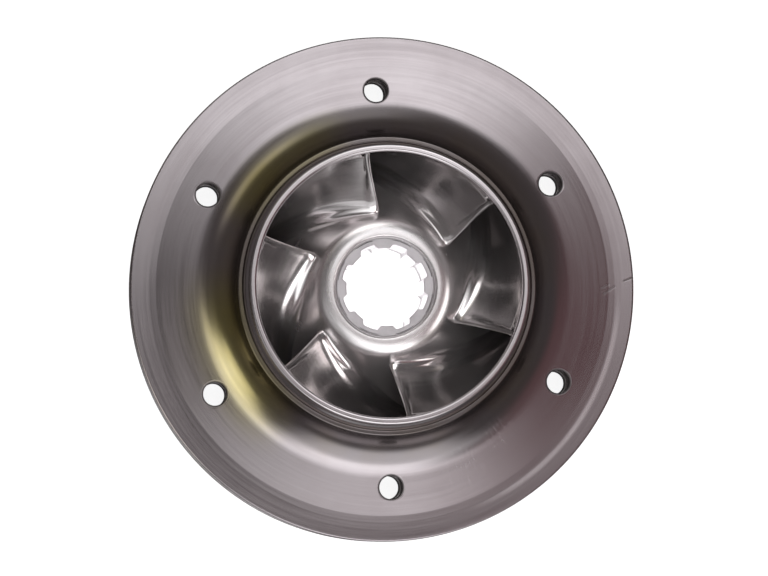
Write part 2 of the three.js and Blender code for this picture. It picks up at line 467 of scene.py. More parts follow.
class Term:
    """A number socket in a Python expression, each operator of which adds a Math node."""

    def __init__(self, graph: Graph, socket: bpy.types.NodeSocket) -> None:
        """Wraps an output socket."""
        self.graph = graph
        self.socket = socket

    def __add__(self, other: object) -> "Term":
        """Sum."""
        return self.graph.math("ADD", self, other)

    def __radd__(self, other: object) -> "Term":
        """Sum with a number in front."""
        return self.graph.math("ADD", other, self)

    def __sub__(self, other: object) -> "Term":
        """Difference."""
        return self.graph.math("SUBTRACT", self, other)

    def __rsub__(self, other: object) -> "Term":
        """Difference from a number in front."""
        return self.graph.math("SUBTRACT", other, self)

    def __mul__(self, other: object) -> "Term":
        """Product."""
        return self.graph.math("MULTIPLY", self, other)

    def __rmul__(self, other: object) -> "Term":
        """Product with a number in front."""
        return self.graph.math("MULTIPLY", other, self)

    def __truediv__(self, other: object) -> "Term":
        """Quotient."""
        return self.graph.math("DIVIDE", self, other)

    def __rtruediv__(self, other: object) -> "Term":
        """Quotient of a number in front."""
        return self.graph.math("DIVIDE", other, self)

    def root(self) -> "Term":
        """Square root."""
        return self.graph.math("SQRT", self)

    def size(self) -> "Term":
        """Absolute value."""
        return self.graph.math("ABSOLUTE", self)

    def at_most(self, other: object) -> "Term":
        """The smaller of two values."""
        return self.graph.math("MINIMUM", self, other)

    def at_least(self, other: object) -> "Term":
        """The larger of two values."""
        return self.graph.math("MAXIMUM", self, other)

    def ramp(self, low: float, high: float, start: float = 0.0, end: float = 1.0) -> "Term":
        """Smooth step from start to end while the term goes from low to high.

        Args:
            low: Value where the step starts.
            high: Value where it ends.
            start: Result before the step.
            end: Result after it.

        Returns:
            The result.
        """
        settings = {"interpolation_type": "SMOOTHSTEP"}
        node = self.graph.add("ShaderNodeMapRange", settings, Value=self)
        for name, value in zip(("From Min", "From Max", "To Min", "To Max"), (low, high, start, end)):
            self.graph.feed(self.graph.socket(node, name), value)
        return Term(self.graph, node.outputs["Result"])


# Geometry Nodes


class RoundTheShaft:
    """Repeats a pattern of a mesh round the shaft axis and merges its seams."""

    merge_distance: float = 1e-6

    def __init__(self) -> None:
        """Builds the tree once for all the pieces that use it."""
        self.tree = bpy.data.node_groups.new("Repeat round the shaft", "GeometryNodeTree")
        face = self.tree.interface
        face.new_socket("Pattern", in_out="INPUT", socket_type="NodeSocketGeometry")
        self.copies = face.new_socket("Copies", in_out="INPUT", socket_type="NodeSocketInt")
        self.steel = face.new_socket("Steel", in_out="INPUT", socket_type="NodeSocketMaterial")
        face.new_socket("Piece", in_out="OUTPUT", socket_type="NodeSocketGeometry")
        graph = Graph(self.tree)
        entry = graph.add("NodeGroupInput")
        count = Term(graph, entry.outputs["Copies"])
        turn = graph.term("GeometryNodeInputIndex", "Index") * (2 * math.pi / count)
        rotation = graph.add("FunctionNodeAxisAngleToRotation", Axis=(0.0, 0.0, 1.0), Angle=turn)
        points = graph.add("GeometryNodePoints", Count=entry.outputs["Copies"])
        placed = graph.add(
            "GeometryNodeInstanceOnPoints",
            Points=points.outputs["Points"],
            Instance=entry.outputs["Pattern"],
            Rotation=rotation.outputs["Rotation"],
        )
        real = graph.add("GeometryNodeRealizeInstances", Geometry=placed.outputs["Instances"])
        merged = graph.add(
            "GeometryNodeMergeByDistance",
            Geometry=real.outputs["Geometry"],
            Distance=self.merge_distance,
        )
        dressed = graph.add(
            "GeometryNodeSetMaterial",
            Geometry=merged.outputs["Geometry"],
            Material=entry.outputs["Steel"],
        )
        graph.add("NodeGroupOutput", Piece=dressed.outputs["Geometry"])

    def make(self, pattern: bpy.types.Mesh, copies: int, steel: bpy.types.Material) -> bpy.types.Object:
        """Makes a piece from its pattern.

        Args:
            pattern: Mesh of one repeat. The piece takes its name.
            copies: Number of repeats in a full turn.
            steel: Material of the piece.

        Returns:
            The piece, as a plain mesh.
        """
        settings = {self.copies.identifier: copies, self.steel.identifier: steel}
        return run_modifier(self.tree, pattern, settings)


class WeldSeam:
    """Lays a rippled bead along the edges of a mesh."""

    spacing: float = 0.25 * MM
    sides: int = 10
    ripple: float = 0.16
    ripple_pitch: float = 0.55 * MM
    waver_scale: float = 900.0

    def __init__(self) -> None:
        """Builds the tree once for both seams."""
        self.tree = bpy.data.node_groups.new("Bead along a seam", "GeometryNodeTree")
        face = self.tree.interface
        face.new_socket("Seam", in_out="INPUT", socket_type="NodeSocketGeometry")
        self.bead = face.new_socket("Bead radius", in_out="INPUT", socket_type="NodeSocketFloat")
        self.steel = face.new_socket("Steel", in_out="INPUT", socket_type="NodeSocketMaterial")
        face.new_socket("Beads", in_out="OUTPUT", socket_type="NodeSocketGeometry")
        graph = Graph(self.tree)
        entry = graph.add("NodeGroupInput")
        line = graph.add("GeometryNodeMeshToCurve", Mesh=entry.outputs["Seam"])
        even = graph.add(
            "GeometryNodeResampleCurve", {"mode": "LENGTH"}, Curve=line.outputs["Curve"]
        )
        graph.feed(graph.socket(even, "Length"), self.spacing)
        way = graph.term("GeometryNodeSplineParameter", "Length")
        wave = graph.math("SINE", way * (2 * math.pi / self.ripple_pitch))
        waver = graph.noise(graph.combine(way, 0.0, 0.0), self.waver_scale) - 0.5
        ring = graph.add(
            "GeometryNodeCurvePrimitiveCircle",
            Resolution=self.sides,
            Radius=entry.outputs["Bead radius"],
        )
        tube = graph.add(
            "GeometryNodeCurveToMesh",
            Curve=even.outputs["Curve"],
            Profile_Curve=ring.outputs["Curve"],
            Scale=1.0 + self.ripple * wave + self.ripple * waver,
            Fill_Caps=True,
        )
        real = graph.add("GeometryNodeRealizeInstances", Geometry=tube.outputs["Mesh"])
        dressed = graph.add(
            "GeometryNodeSetMaterial",
            Geometry=real.outputs["Geometry"],
            Material=entry.outputs["Steel"],
        )
        graph.add("NodeGroupOutput", Beads=dressed.outputs["Geometry"])

    def make(self, seam: bpy.types.Mesh, bead: float, steel: bpy.types.Material) -> bpy.types.Object:
        """Makes the bead of a seam.

        Args:
            seam: Mesh of edges that the bead follows. The piece takes its name.
            bead: Radius of the bead.
            steel: Material of the bead.

        Returns:
            The bead, as a plain mesh.
        """
        return run_modifier(self.tree, seam, {self.bead.identifier: bead, self.steel.identifier: steel})


def run_modifier(
    tree: bpy.types.NodeTree, mesh: bpy.types.Mesh, settings: dict[str, object]
) -> bpy.types.Object:
    """Runs a Geometry Nodes tree on a mesh and keeps only the plain result.

    Args:
        tree: The tree to run.
        mesh: Mesh that goes in. The piece takes its name.
        settings: Values of the tree's inputs, by identifier.

    Returns:
        An object at the origin with the result as its mesh, facing outwards.
    """
    piece = bpy.data.objects.new(mesh.name, mesh)
    bpy.context.scene.collection.objects.link(piece)
    modifier = piece.modifiers.new("Pattern", "NODES")
    modifier.node_group = tree
    for identifier, value in settings.items():
        modifier[identifier] = value
    depsgraph = bpy.context.evaluated_depsgraph_get()
    depsgraph.update()
    result = bpy.data.meshes.new_from_object(piece.evaluated_get(depsgraph), depsgraph=depsgraph)
    result.name = mesh.name + "_mesh"
    steel = next(material for material in result.materials if material)
    result.materials.clear()
    result.materials.append(steel)
    result.polygons.foreach_set("material_index", [0] * len(result.polygons))
    piece.modifiers.remove(modifier)
    piece.data = result
    bpy.data.meshes.remove(mesh)
    face_outwards(result)
    return piece


# Finishes


@dataclass(frozen=True)
class Scratch:
    """A straight mark on an upper face, from one place to another."""

    start: tuple[float, float]
    end: tuple[float, float]
    width: float
    strength: float = 1.0

    def mask(self, graph: Graph, x: Term, y: Term) -> Term:
        """Strength of the mark at a place.

        Args:
            graph: Graph that the nodes go in.
            x: First coordinate of the place.
            y: Second coordinate of the place.

        Returns:
            A term that is its strength on the mark and 0 away from it.
        """
        across = (self.end[0] - self.start[0], self.end[1] - self.start[1])
        squared = across[0] ** 2 + across[1] ** 2
        off_x = x - self.start[0]
        off_y = y - self.start[1]
        share = ((off_x * across[0] + off_y * across[1]) / squared).at_least(0.0).at_most(1.0)
        gap_x = off_x - share * across[0]
        gap_y = off_y - share * across[1]
        away = (gap_x * gap_x + gap_y * gap_y).root()
        return away.ramp(self.width * 0.2, self.width, self.strength, 0.0)


@dataclass(frozen=True)
class Scuff:
    """A patch of short light strokes that lie in one direction."""

    place: tuple[float, float]
    reach: float
    turn: float
    strength: float = 0.6
    stroke_length: float = 3.0 * MM
    stroke_width: float = 0.55 * MM

    def mask(self, graph: Graph, x: Term, y: Term) -> Term:
        """Strength of the strokes at a place.

        Args:
            graph: Graph that the nodes go in.
            x: First coordinate of the place.
            y: Second coordinate of the place.

        Returns:
            A term that is the strength on a stroke and 0 away from the patch.
        """
        cosine, sine = math.cos(self.turn), math.sin(self.turn)
        off_x, off_y = x - self.place[0], y - self.place[1]
        along = off_x * cosine + off_y * sine
        across = off_y * cosine - off_x * sine
        away = (off_x * off_x + off_y * off_y).root()
        way = graph.combine(along / self.stroke_length, across / self.stroke_width, 0.0)
        strokes = graph.noise(way, 1.0, 3.0, 0.6).ramp(0.48, 0.75)
        return strokes * away.ramp(self.reach * 0.3, self.reach, self.strength, 0.0)


@dataclass(frozen=True)
class HoleShade:
    """Painted shade: a dark ring round each hole of a ring of holes, darkening its edge and wall."""

    hole_radius: float
    circle_radius: float
    count: int
    width: float = 0.5 * MM
    amount: float = 0.75

    def mask(self, graph: Graph, x: Term, y: Term) -> Term:
        """Strength of the ring at a place.

        Args:
            graph: Graph that the nodes go in.
            x: First coordinate of the place.
            y: Second coordinate of the place.

        Returns:
            A term that is the amount at and in a hole and 0 away from it.
        """
        step = 2 * math.pi / self.count
        angle = graph.math("ARCTAN2", y, x)
        turn = angle - graph.math("ROUND", angle / step) * step
        radius = (x * x + y * y).root()
        off_x = radius * graph.math("COSINE", turn) - self.circle_radius
        off_y = radius * graph.math("SINE", turn)
        away = (off_x * off_x + off_y * off_y).root()
        dark, clear = self.hole_radius + self.width * 0.3, self.hole_radius + self.width
        return away.ramp(dark, clear, self.amount, 0.0)


@dataclass(frozen=True)
class RingTint:
    """A ring round the shaft where the steel has another colour, from heat tint or oxide, or as painted
    highlight or painted shade.

    It fades out between two radii, and with a start it is a band that begins there. With a
    spread, it is only a patch that reaches that far to both sides of an angle.
    """

    inner: float
    outer: float
    colour: Colour = (0.50, 0.40, 0.24)
    amount: float = 0.5
    even: float = 0.0
    roughness: float = 0.0
    angle: float = 0.0
    spread: float | None = None
    start: float | None = None
    start_fade: float = 0.4 * MM

    def mask(self, radius: Term, way: tuple[Term, Term], cloud: Term) -> Term:
        """Strength of the tint at a place.

        Args:
            radius: Distance from the shaft axis.
            way: Direction from the shaft axis.
            cloud: Noise that breaks the tint up.

        Returns:
            A term that goes from 0 to the amount.
        """
        ring = radius.ramp(self.inner, self.outer, 1.0, 0.0)
        ring = ring * cloud.ramp(0.35, 0.75, self.even, 1.0) * self.amount
        if self.start is not None:
            ring = ring * radius.ramp(self.start, self.start + self.start_fade)
        if self.spread is None:
            return ring
        toward = way[0] * math.cos(self.angle) + way[1] * math.sin(self.angle)
        return ring * toward.ramp(math.cos(self.spread), math.cos(self.spread * 0.3))


@dataclass(frozen=True)
class TurnedSteel:
    """Stainless steel with fine lines that run round the shaft, from brushing while it turned."""

    colour: Colour
    roughness: float
    dull_colour: Colour = (0.48, 0.42, 0.425)
    anisotropy: float = 0.25
    line_pitch: float = 0.5 * MM
    line_height: float = 0.004 * MM
    cloud_size: float = 22 * MM
    cloud_amount: float = 0.35
    metallic: float = 1.0
    scratches: tuple[Scratch, ...] = ()
    scuffs: tuple[Scuff, ...] = ()
    tints: tuple[RingTint, ...] = ()
    # Painted shade at the edges and walls of the holes, and its colour.
    painted_hole_shade: HoleShade | None = None
    hole_shade_colour: Colour = (0.05, 0.045, 0.045)
    scuff_colour: Colour = (0.9, 0.87, 0.88)
    mark_colour: Colour = (0.09, 0.07, 0.065)
    mark_depth: float = 4.0

    def material(self, name: str) -> bpy.types.Material:
        """Builds the material under a name.

        Args:
            name: Name of the material.

        Returns:
            The material.
        """
        material = bpy.data.materials.new(name)
        material.use_nodes = True
        material.node_tree.nodes.clear()
        graph = Graph(material.node_tree)
        place = graph.add("ShaderNodeTexCoord").outputs["Object"]
        x, y, z = graph.split(place)
        radius = (x * x + y * y).root()
        around = graph.normalized(graph.combine(x, y, 0.0))
        round_x, round_y, _ = graph.split(around)
        way = (radius + z * 0.8) / self.line_pitch
        fine = graph.noise(graph.combine(way, round_x * 1.5, round_y * 1.5), 1.0, 3.0, 0.65)
        bands = graph.noise(graph.combine(way * 0.22, round_x, round_y), 1.0, 2.0)
        cloud = graph.noise(place, 1.0 / self.cloud_size, 4.0, 0.6)
        upper = graph.split(graph.add("ShaderNodeNewGeometry").outputs["Normal"])[2].ramp(0.2, 0.5)
        marks = self.strongest(graph, self.scratches, x, y)
        scuffs = self.strongest(graph, self.scuffs, x, y)

        dull = cloud.ramp(0.4, 0.75) * self.cloud_amount + bands.ramp(0.45, 0.8) * 0.2
        colour = graph.mix(dull, (*self.colour, 1.0), (*self.dull_colour, 1.0))
        rough = self.roughness + (fine - 0.5) * 0.14 + (bands - 0.5) * 0.08 + (cloud - 0.5) * 0.1
        # Rings of heat tint, and rings of painted highlight and painted shade.
        for tint in self.tints:
            mask = tint.mask(radius, (round_x, round_y), cloud)
            colour = graph.mix(mask, colour, (*tint.colour, 1.0))
            rough = rough + mask * tint.roughness
        # Painted shade: darkens the edges and walls of the holes.
        if self.painted_hole_shade:
            hole_shade = self.painted_hole_shade.mask(graph, x, y)
            colour = graph.mix(hole_shade, colour, (*self.hole_shade_colour, 1.0))
            rough = rough + hole_shade * 0.3
        height = fine
        if scuffs:
            worn = scuffs * upper
            colour = graph.mix(worn * 0.7, colour, (*self.scuff_colour, 1.0))
            rough = rough + worn * 0.2
        if marks:
            marks = marks * upper
            colour = graph.mix(marks * 0.75, colour, (*self.mark_colour, 1.0))
            rough = rough + marks * 0.25
            height = height - marks * self.mark_depth
        bump = graph.add("ShaderNodeBump", Strength=1.0, Distance=self.line_height, Height=height)
        shader = graph.add(
            "ShaderNodeBsdfPrincipled",
            Base_Color=colour,
            Metallic=self.metallic,
            Roughness=rough,
            Anisotropic=self.anisotropy,
            Anisotropic_Rotation=0.25,
            Normal=bump.outputs["Normal"],
        )
        graph.add("ShaderNodeOutputMaterial", Surface=shader.outputs["BSDF"])
        return material

    def strongest(
        self, graph: Graph, marks: Sequence[Scratch | Scuff], x: Term, y: Term
    ) -> Term | None:
        """Takes the strongest of some marks at a place.

        Args:
            graph: Graph that the nodes go in.
            marks: The marks.
            x: First coordinate of the place.
            y: Second coordinate of the place.

        Returns:
            Their strength, or None where there are no marks.
        """
        result = None
        for mark in marks:
            mask = mark.mask(graph, x, y)
            result = result.at_least(mask) if result else mask
        return result


@dataclass(frozen=True)
class BlastedSteel:
    """Matt steel of the bush: turned, then dulled by a fine blast."""

    colour: Colour
    roughness: float
    metallic: float = 0.75
    grain: float = 0.18 * MM
    grain_height: float = 0.006 * MM
    cloud_size: float = 4 * MM
    cloud_shade: float = 0.84

    def material(self, name: str) -> bpy.types.Material:
        """Builds the material under a name.

        Args:
            name: Name of the material.

        Returns:
            The material.
        """
        material = bpy.data.materials.new(name)
        material.use_nodes = True
        material.node_tree.nodes.clear()
        graph = Graph(material.node_tree)
        place = graph.add("ShaderNodeTexCoord").outputs["Object"]
        grain = graph.noise(place, 1.0 / self.grain, 2.0)
        cloud = graph.noise(place, 1.0 / self.cloud_size, 3.0)
        dark = tuple(c * self.cloud_shade for c in self.colour)
        colour = graph.mix(cloud.ramp(0.35, 0.75), (*self.colour, 1.0), (*dark, 1.0))
        bump = graph.add("ShaderNodeBump", Strength=1.0, Distance=self.grain_height, Height=grain)
        shader = graph.add(
            "ShaderNodeBsdfPrincipled",
            Base_Color=colour,
            Metallic=self.metallic,
            Roughness=self.roughness + (grain - 0.5) * 0.15,
            Normal=bump.outputs["Normal"],
        )
        graph.add("ShaderNodeOutputMaterial", Surface=shader.outputs["BSDF"])
        return material


# Pieces


@dataclass(frozen=True)
class ToolingHoles:
    """The holes of a shroud, and the ring of the sheet round each that they are meshed in."""

    radius: float = 2.3 * MM
    circle_radius: float = 39.3 * MM
    edge_round: float = 0.18 * MM
    half_band: float = 4.3 * MM
    steps: int = 16
    rows: int = 7

    def band(self, skin: Callable[[float], float]) -> list[Vector]:
        """Section points of the band that the hole lies in, from the inside out.

        Args:
            skin: Height of the face as a function of the radius.

        Returns:
            The points.
        """
        start = self.circle_radius - self.half_band
        step = 2 * self.half_band / self.steps
        radii = [start + step * i for i in range(self.steps + 1)]
        return [Vector((r, skin(r))) for r in radii]


def skin_of(points: Sequence[Vector]) -> Callable[[float], float]:
    """Gives the height of a face of a shroud as a function of the radius.

    Args:
        points: Points of the face, in order of radius either way.

    Returns:
        The function, linear between the points.
    """
    ordered = sorted(points, key=lambda p: p.x)
    radii = [p.x for p in ordered]

    def height(radius: float) -> float:
        """Height of the face at a radius.

        Args:
            radius: Distance from the shaft axis.

        Returns:
            The height.
        """
        i = min(max(bisect_right(radii, radius) - 1, 0), len(ordered) - 2)
        low, high = ordered[i], ordered[i + 1]
        share = (radius - low.x) / max(high.x - low.x, 1e-12)
        return low.y + (high.y - low.y) * share

    return height


class DrilledSheet:
    """Mesh of one sixth of a drilled shroud, with rows of faces that run round its hole."""

    columns: int = 64
    clear: float = 0.15 * MM

    def __init__(
        self, name: str, outside: list[Vector], inside: list[Vector], holes: ToolingHoles, sector: float
    ) -> None:
        """Takes the two faces of the section.

        Args:
            name: Name of the mesh.
            outside: Points of the upper face, from the inner edge to the rim.
            inside: Points of the lower face, from the rim back to the inner edge.
            holes: The holes of the shroud.
            sector: Angle of the sector, with a hole in its middle.
        """
        self.sheet = SheetMesh(name)
        self.holes = holes
        self.sector = sector
        self.upper_skin = skin_of(outside)
        self.lower_skin = skin_of(inside)
        upper_band = holes.band(self.upper_skin)
        lower_band = holes.band(self.lower_skin)[::-1]
        low, high = upper_band[0].x, upper_band[-1].x
        head = [p for p in outside if p.x < low - self.clear]
        neck = [p for p in outside if p.x > high + self.clear]
        back = [p for p in inside if p.x > high + self.clear]
        tail = [p for p in inside if p.x < low - self.clear]
        self.section = [*head, *upper_band, *neck, *back, *lower_band, *tail]
        self.upper_start = len(head)
        self.lower_start = len(head) + len(upper_band) + len(neck) + len(back)
        self.first_column = (self.columns - holes.steps) // 2

    def column_angle(self, column: int) -> float:
        """Angle of a column of points from the middle of the sector."""
        return self.sector * (column / self.columns - 0.5)

    def mesh(self) -> bpy.types.Mesh:
        """Builds the sector.

        Returns:
            Its mesh, without the points that lie loose in the hole.
        """
        rows = [
            self.sheet.row(on_round(place, self.column_angle(j)) for j in range(self.columns + 1))
            for place in self.section
        ]
        steps = self.holes.steps
        first, last = self.first_column, self.first_column + steps
        for i, row in enumerate(rows):
            after = rows[(i + 1) % len(rows)]
            in_band = any(s <= i < s + steps for s in (self.upper_start, self.lower_start))
            if in_band:
                self.sheet.strip(row[: first + 1], after[: first + 1])
                self.sheet.strip(row[last:], after[last:])
            else:
                self.sheet.strip(row, after)
        upper = self.edge(rows[self.upper_start : self.upper_start + steps + 1])
        lower = self.edge(rows[self.lower_start : self.lower_start + steps + 1][::-1])
        self.drill(upper, lower)
        mesh = self.sheet.mesh()
        shell = bmesh.new()
        shell.from_mesh(mesh)
        loose = [v for v in shell.verts if not v.link_faces]
        bmesh.ops.delete(shell, geom=loose, context="VERTS")
        shell.to_mesh(mesh)
        shell.free()
        return mesh

    def edge(self, band: Sequence[Sequence[int]]) -> list[int]:
        """Points round the patch that holds the hole, from its inner corner.

        Args:
            band: Rows of the band, from the inside out.

        Returns:
            Point numbers along the inner side, out, back along the outer side, and in.
        """
        first, last = self.first_column, self.first_column + self.holes.steps
        inner = list(band[0][first:last])
        right = [row[last] for row in band[:-1]]
        outer = list(band[-1][first + 1 : last + 1])[::-1]
        left = [row[first] for row in band[1:]][::-1]
        return [*inner, *right, *outer, *left]

    def circle(self, radius: float, height: Callable[[float], float]) -> list[Vector]:
        """Points on a circle round the hole's axis, one for each point of a patch's border.

        Args:
            radius: Radius of the circle.
            height: Height of the points as a function of their distance from the shaft axis.

        Returns:
            The points, in the order of the border.
        """
        holes = self.holes
        turns = [math.radians(225 - 90 * k / holes.steps) for k in range(4 * holes.steps)]
        places = (
            Vector((holes.circle_radius + radius * math.cos(a), radius * math.sin(a))) for a in turns
        )
        return [Vector((p.x, p.y, height(p.length))) for p in places]

    def patch(self, border: list[int], skin: Callable[[float], float]) -> list[int]:
        """Fills a patch from its border to the edge of the hole.

        Args:
            border: Points round the patch.
            skin: Height of the face as a function of the radius.

        Returns:
            Points round the edge of the hole.
        """
        holes = self.holes
        outer = [self.sheet.points[n].xy for n in border]
        inner = [p.xy for p in self.circle(holes.radius + holes.edge_round, skin)]
        before = border
        for i in range(1, holes.rows + 1):
            share = (i / holes.rows) ** 0.8
            places = [a.lerp(b, share) for a, b in zip(outer, inner)]
            row = self.sheet.row(Vector((p.x, p.y, skin(p.length))) for p in places)
            self.sheet.strip(before, row, closed=True)
            before = row
        return before

    def rounding(self, skin: Callable[[float], float], turn: int, side: float) -> list[Vector]:
        """Points of the rounded edge between a face and the wall of the hole.

        Args:
            skin: Height of the face as a function of the radius.
            turn: Degrees round the edge, from 0 at the face to 90 at the wall.
            side: -1 under the upper face, 1 over the lower one.

        Returns:
            The points of one row.
        """
        edge, angle = self.holes.edge_round, math.radians(turn)
        step = edge * (1 - math.cos(angle)) * side
        radius = self.holes.radius + edge * (1 - math.sin(angle))
        return self.circle(radius, lambda r: skin(r) + step)

    def wall(self, share: float) -> list[Vector]:
        """Points of the wall of the hole.

        Args:
            share: Share of the way down the wall.

        Returns:
            The points of one row.
        """
        edge = self.holes.edge_round

        def height(radius: float) -> float:
            """Height of the row at a radius."""
            top, bottom = self.upper_skin(radius) - edge, self.lower_skin(radius) + edge
            return top + (bottom - top) * share

        return self.circle(self.holes.radius, height)

    def drill(self, upper: list[int], lower: list[int]) -> None:
        """Fills both patches round the hole and builds its rounded wall.

        Args:
            upper: Points round the patch of the upper face.
            lower: Points round the patch of the lower face.
        """
        before = self.patch(upper, self.upper_skin)
        below = self.patch(lower, self.lower_skin)
        walls = [
            *(self.rounding(self.upper_skin, turn, -1.0) for turn in (30, 60, 90)),
            *(self.wall(share) for share in (0.12, 0.5, 0.88)),
            *(self.rounding(self.lower_skin, turn, 1.0) for turn in (90, 60, 30)),
        ]
        for wall in walls:
            row = self.sheet.row(wall)
            self.sheet.strip(before, row, closed=True)
            before = row
        self.sheet.strip(before, below, closed=True)


def drilled_shroud(
    name: str,
    corners: Sequence[Corner],
    holes: ToolingHoles,
    count: int,
    repeat: RoundTheShaft,
    steel: bpy.types.Material,
) -> bpy.types.Object:
    """Makes a shroud with its ring of holes.

    Args:
        name: Name of the piece.
        corners: Corners of its section, along the upper face to the rim and back along the lower.
        holes: Sizes of the holes.
        count: Number of holes.
        repeat: Tree that repeats the sector of one hole.
        steel: Material of the piece.

    Returns:
        The piece, as a plain mesh.
    """
    points = divided(rounded(corners), SHROUD_STEP)
    split = max(range(len(points)), key=lambda i: (round(points[i].x, 7), points[i].y))
    sector = 2 * math.pi / count
    mesh = DrilledSheet(name, points[: split + 1], points[split + 1 :], holes, sector).mesh()
    return repeat.make(mesh, count, steel)


@dataclass
class FrontShroud:
    """The pressed upper shroud: land, soft bend, shallow cone, fillet and upright collar."""

    sizes: ImpellerSizes
    holes: ToolingHoles
    finish: TurnedSteel
    collar_radius: float = 29.35 * MM
    fillet_radius: float = 9 * MM
    cone_slope: float = math.radians(7)
    bend_inner_radius: float = 44.9 * MM
    bend_radius: float = 46.2 * MM
    bend_outer_radius: float = 47.5 * MM
    bend_slope: float = math.radians(4.2)
    bend_outer_slope: float = math.radians(2.6)
    land_slope: float = math.radians(1.9)
    bend_inner_round: float = 4 * MM
    bend_round: float = 6 * MM
    edge_round: float = 0.3 * MM
    fillet_steps: int = 40

    @property
    def fillet_centre(self) -> Vector:
        """Centre of the fillet in the section."""
        return Vector((self.collar_radius + self.fillet_radius, self.sizes.collar_top))

    @property
    def foot_angle(self) -> float:
        """Angle round the fillet's centre where it meets the cone."""
        return 1.5 * math.pi - self.cone_slope

    def cone_height(self, radius: float, depth: float) -> float:
        """Height of the cone at a radius, at a depth under its upper face."""
        foot = polar(self.fillet_centre, self.fillet_radius + depth, self.foot_angle)
        return foot.y - (radius - foot.x) * math.tan(self.cone_slope)

    def outside(self) -> list[Corner]:
        """Corners of the upper face, from the collar's edge to the rim.

        Returns:
            The corners.
        """
        sizes, start = self.sizes, self.bend_inner_radius
        fillet = arc(
            self.fillet_centre, self.fillet_radius, math.pi, self.foot_angle, self.fillet_steps
        )
        bend = [Corner(start, self.cone_height(start, 0), self.bend_inner_round)]
        for radius, slope, corner_round in (
            (self.bend_radius, self.bend_slope, self.bend_round),
            (self.bend_outer_radius, self.bend_outer_slope, self.bend_round),
            (sizes.outer_radius, self.land_slope, self.edge_round),
        ):
            drop = (radius - bend[-1].radius) * math.tan(slope)
            bend.append(Corner(radius, bend[-1].height - drop, corner_round))
        return [
            Corner(self.collar_radius, sizes.collar_top, self.edge_round), *fillet[2:], *bend
        ]

    def inside(self) -> list[Corner]:
        """Corners of the lower face, from the rim back to the collar's edge.

        Returns:
            The corners.
        """
        sizes = self.sizes
        radius = self.fillet_radius + sizes.sheet
        fillet = arc(self.fillet_centre, radius, self.foot_angle, math.pi, self.fillet_steps)
        bend = self.bend_inner_radius
        return [
            Corner(sizes.outer_radius, sizes.rim_under, self.edge_round),
            Corner(bend, self.cone_height(bend, sizes.sheet), self.bend_round),
            *fillet[:-2],
            Corner(self.collar_radius - sizes.sheet, sizes.collar_top, self.edge_round),
        ]

    def build(self, repeat: RoundTheShaft) -> bpy.types.Object:
        """Builds and dresses the shroud.

        Args:
            repeat: Tree that repeats a pattern round the shaft.

        Returns:
            The piece.
        """
        corners = [*self.outside(), *self.inside()]
        steel = self.finish.material("turned_front_shroud")
        count = self.sizes.holes
        piece = drilled_shroud("front_shroud_skin", corners, self.holes, count, repeat, steel)
        return placed(piece, Slot.FRONT, ["front_shroud"])


@dataclass
class BackShroud:
    """The pressed lower shroud: disc, foot, cone and a rounded nose round the bush."""

    sizes: ImpellerSizes
    holes: ToolingHoles
    finish: TurnedSteel
    nose_hole_radius: float = 10 * MM
    nose_centre_radius: float = 10.55 * MM
    nose_round: float = 5 * MM
    cone_angle: float = math.radians(45)
    foot_radius: float = 16 * MM
    edge_round: float = 0.3 * MM
    nose_steps: int = 16
    foot_steps: int = 24

    @property
    def nose_centre(self) -> Vector:
        """Centre of the nose round in the section."""
        return Vector((self.nose_centre_radius, self.sizes.nose_top - self.nose_round))

    @property
    def foot_centre(self) -> Vector:
        """Centre of the concave foot between the cone and the disc.

        Returns:
            The centre, in the section.
        """
        top = polar(self.nose_centre, self.nose_round, math.pi / 2 - self.cone_angle)
        floor = top.x + (top.y - self.sizes.sheet) / math.tan(self.cone_angle)
        radius = floor + self.foot_radius * math.tan(self.cone_angle / 2)
        return Vector((radius, self.sizes.sheet + self.foot_radius))

    def height(self, radius: float) -> float:
        """Height of the upper face at a radius outside the nose.

        Args:
            radius: Distance from the shaft axis.

        Returns:
            The height.
        """
        centre = self.foot_centre
        start = polar(centre, self.foot_radius, -math.pi / 2 - self.cone_angle)
        if radius >= centre.x:
            return self.sizes.sheet
        if radius >= start.x:
            return centre.y - math.sqrt(self.foot_radius**2 - (centre.x - radius) ** 2)
        return start.y + (start.x - radius) * math.tan(self.cone_angle)

    def face(self, depth: float) -> list[Corner]:
        """Corners of a face at a depth under the upper one, from the nose to the disc.

        Args:
            depth: Depth under the upper face.

        Returns:
            The corners.
        """
        upright, cone = math.pi / 2, self.cone_angle
        nose = arc(self.nose_centre, self.nose_round - depth, upright, upright - cone, self.nose_steps)
        foot = arc(self.foot_centre, self.foot_radius + depth, -upright - cone, -upright, self.foot_steps)
        return [*nose, *foot]

    def build(self, repeat: RoundTheShaft) -> bpy.types.Object:
        """Builds and dresses the shroud.

        Args:
            repeat: Tree that repeats a pattern round the shaft.

        Returns:
            The piece.
        """
        sizes = self.sizes
        top = Corner(self.nose_hole_radius, sizes.nose_top, self.edge_round)
        under = Corner(self.nose_hole_radius, sizes.nose_top - sizes.sheet, self.edge_round)
        rim_top = Corner(sizes.outer_radius, sizes.sheet, self.edge_round)
        rim_under = Corner(sizes.outer_radius, 0.0, self.edge_round)
        corners = [top, *self.face(0.0), rim_top, rim_under, *self.face(sizes.sheet)[::-1], under]
        steel = self.finish.material("turned_back_shroud")
        piece = drilled_shroud("back_shroud_skin", corners, self.holes, sizes.holes, repeat, steel)
        return placed(piece, Slot.BACK, ["back_shroud"])


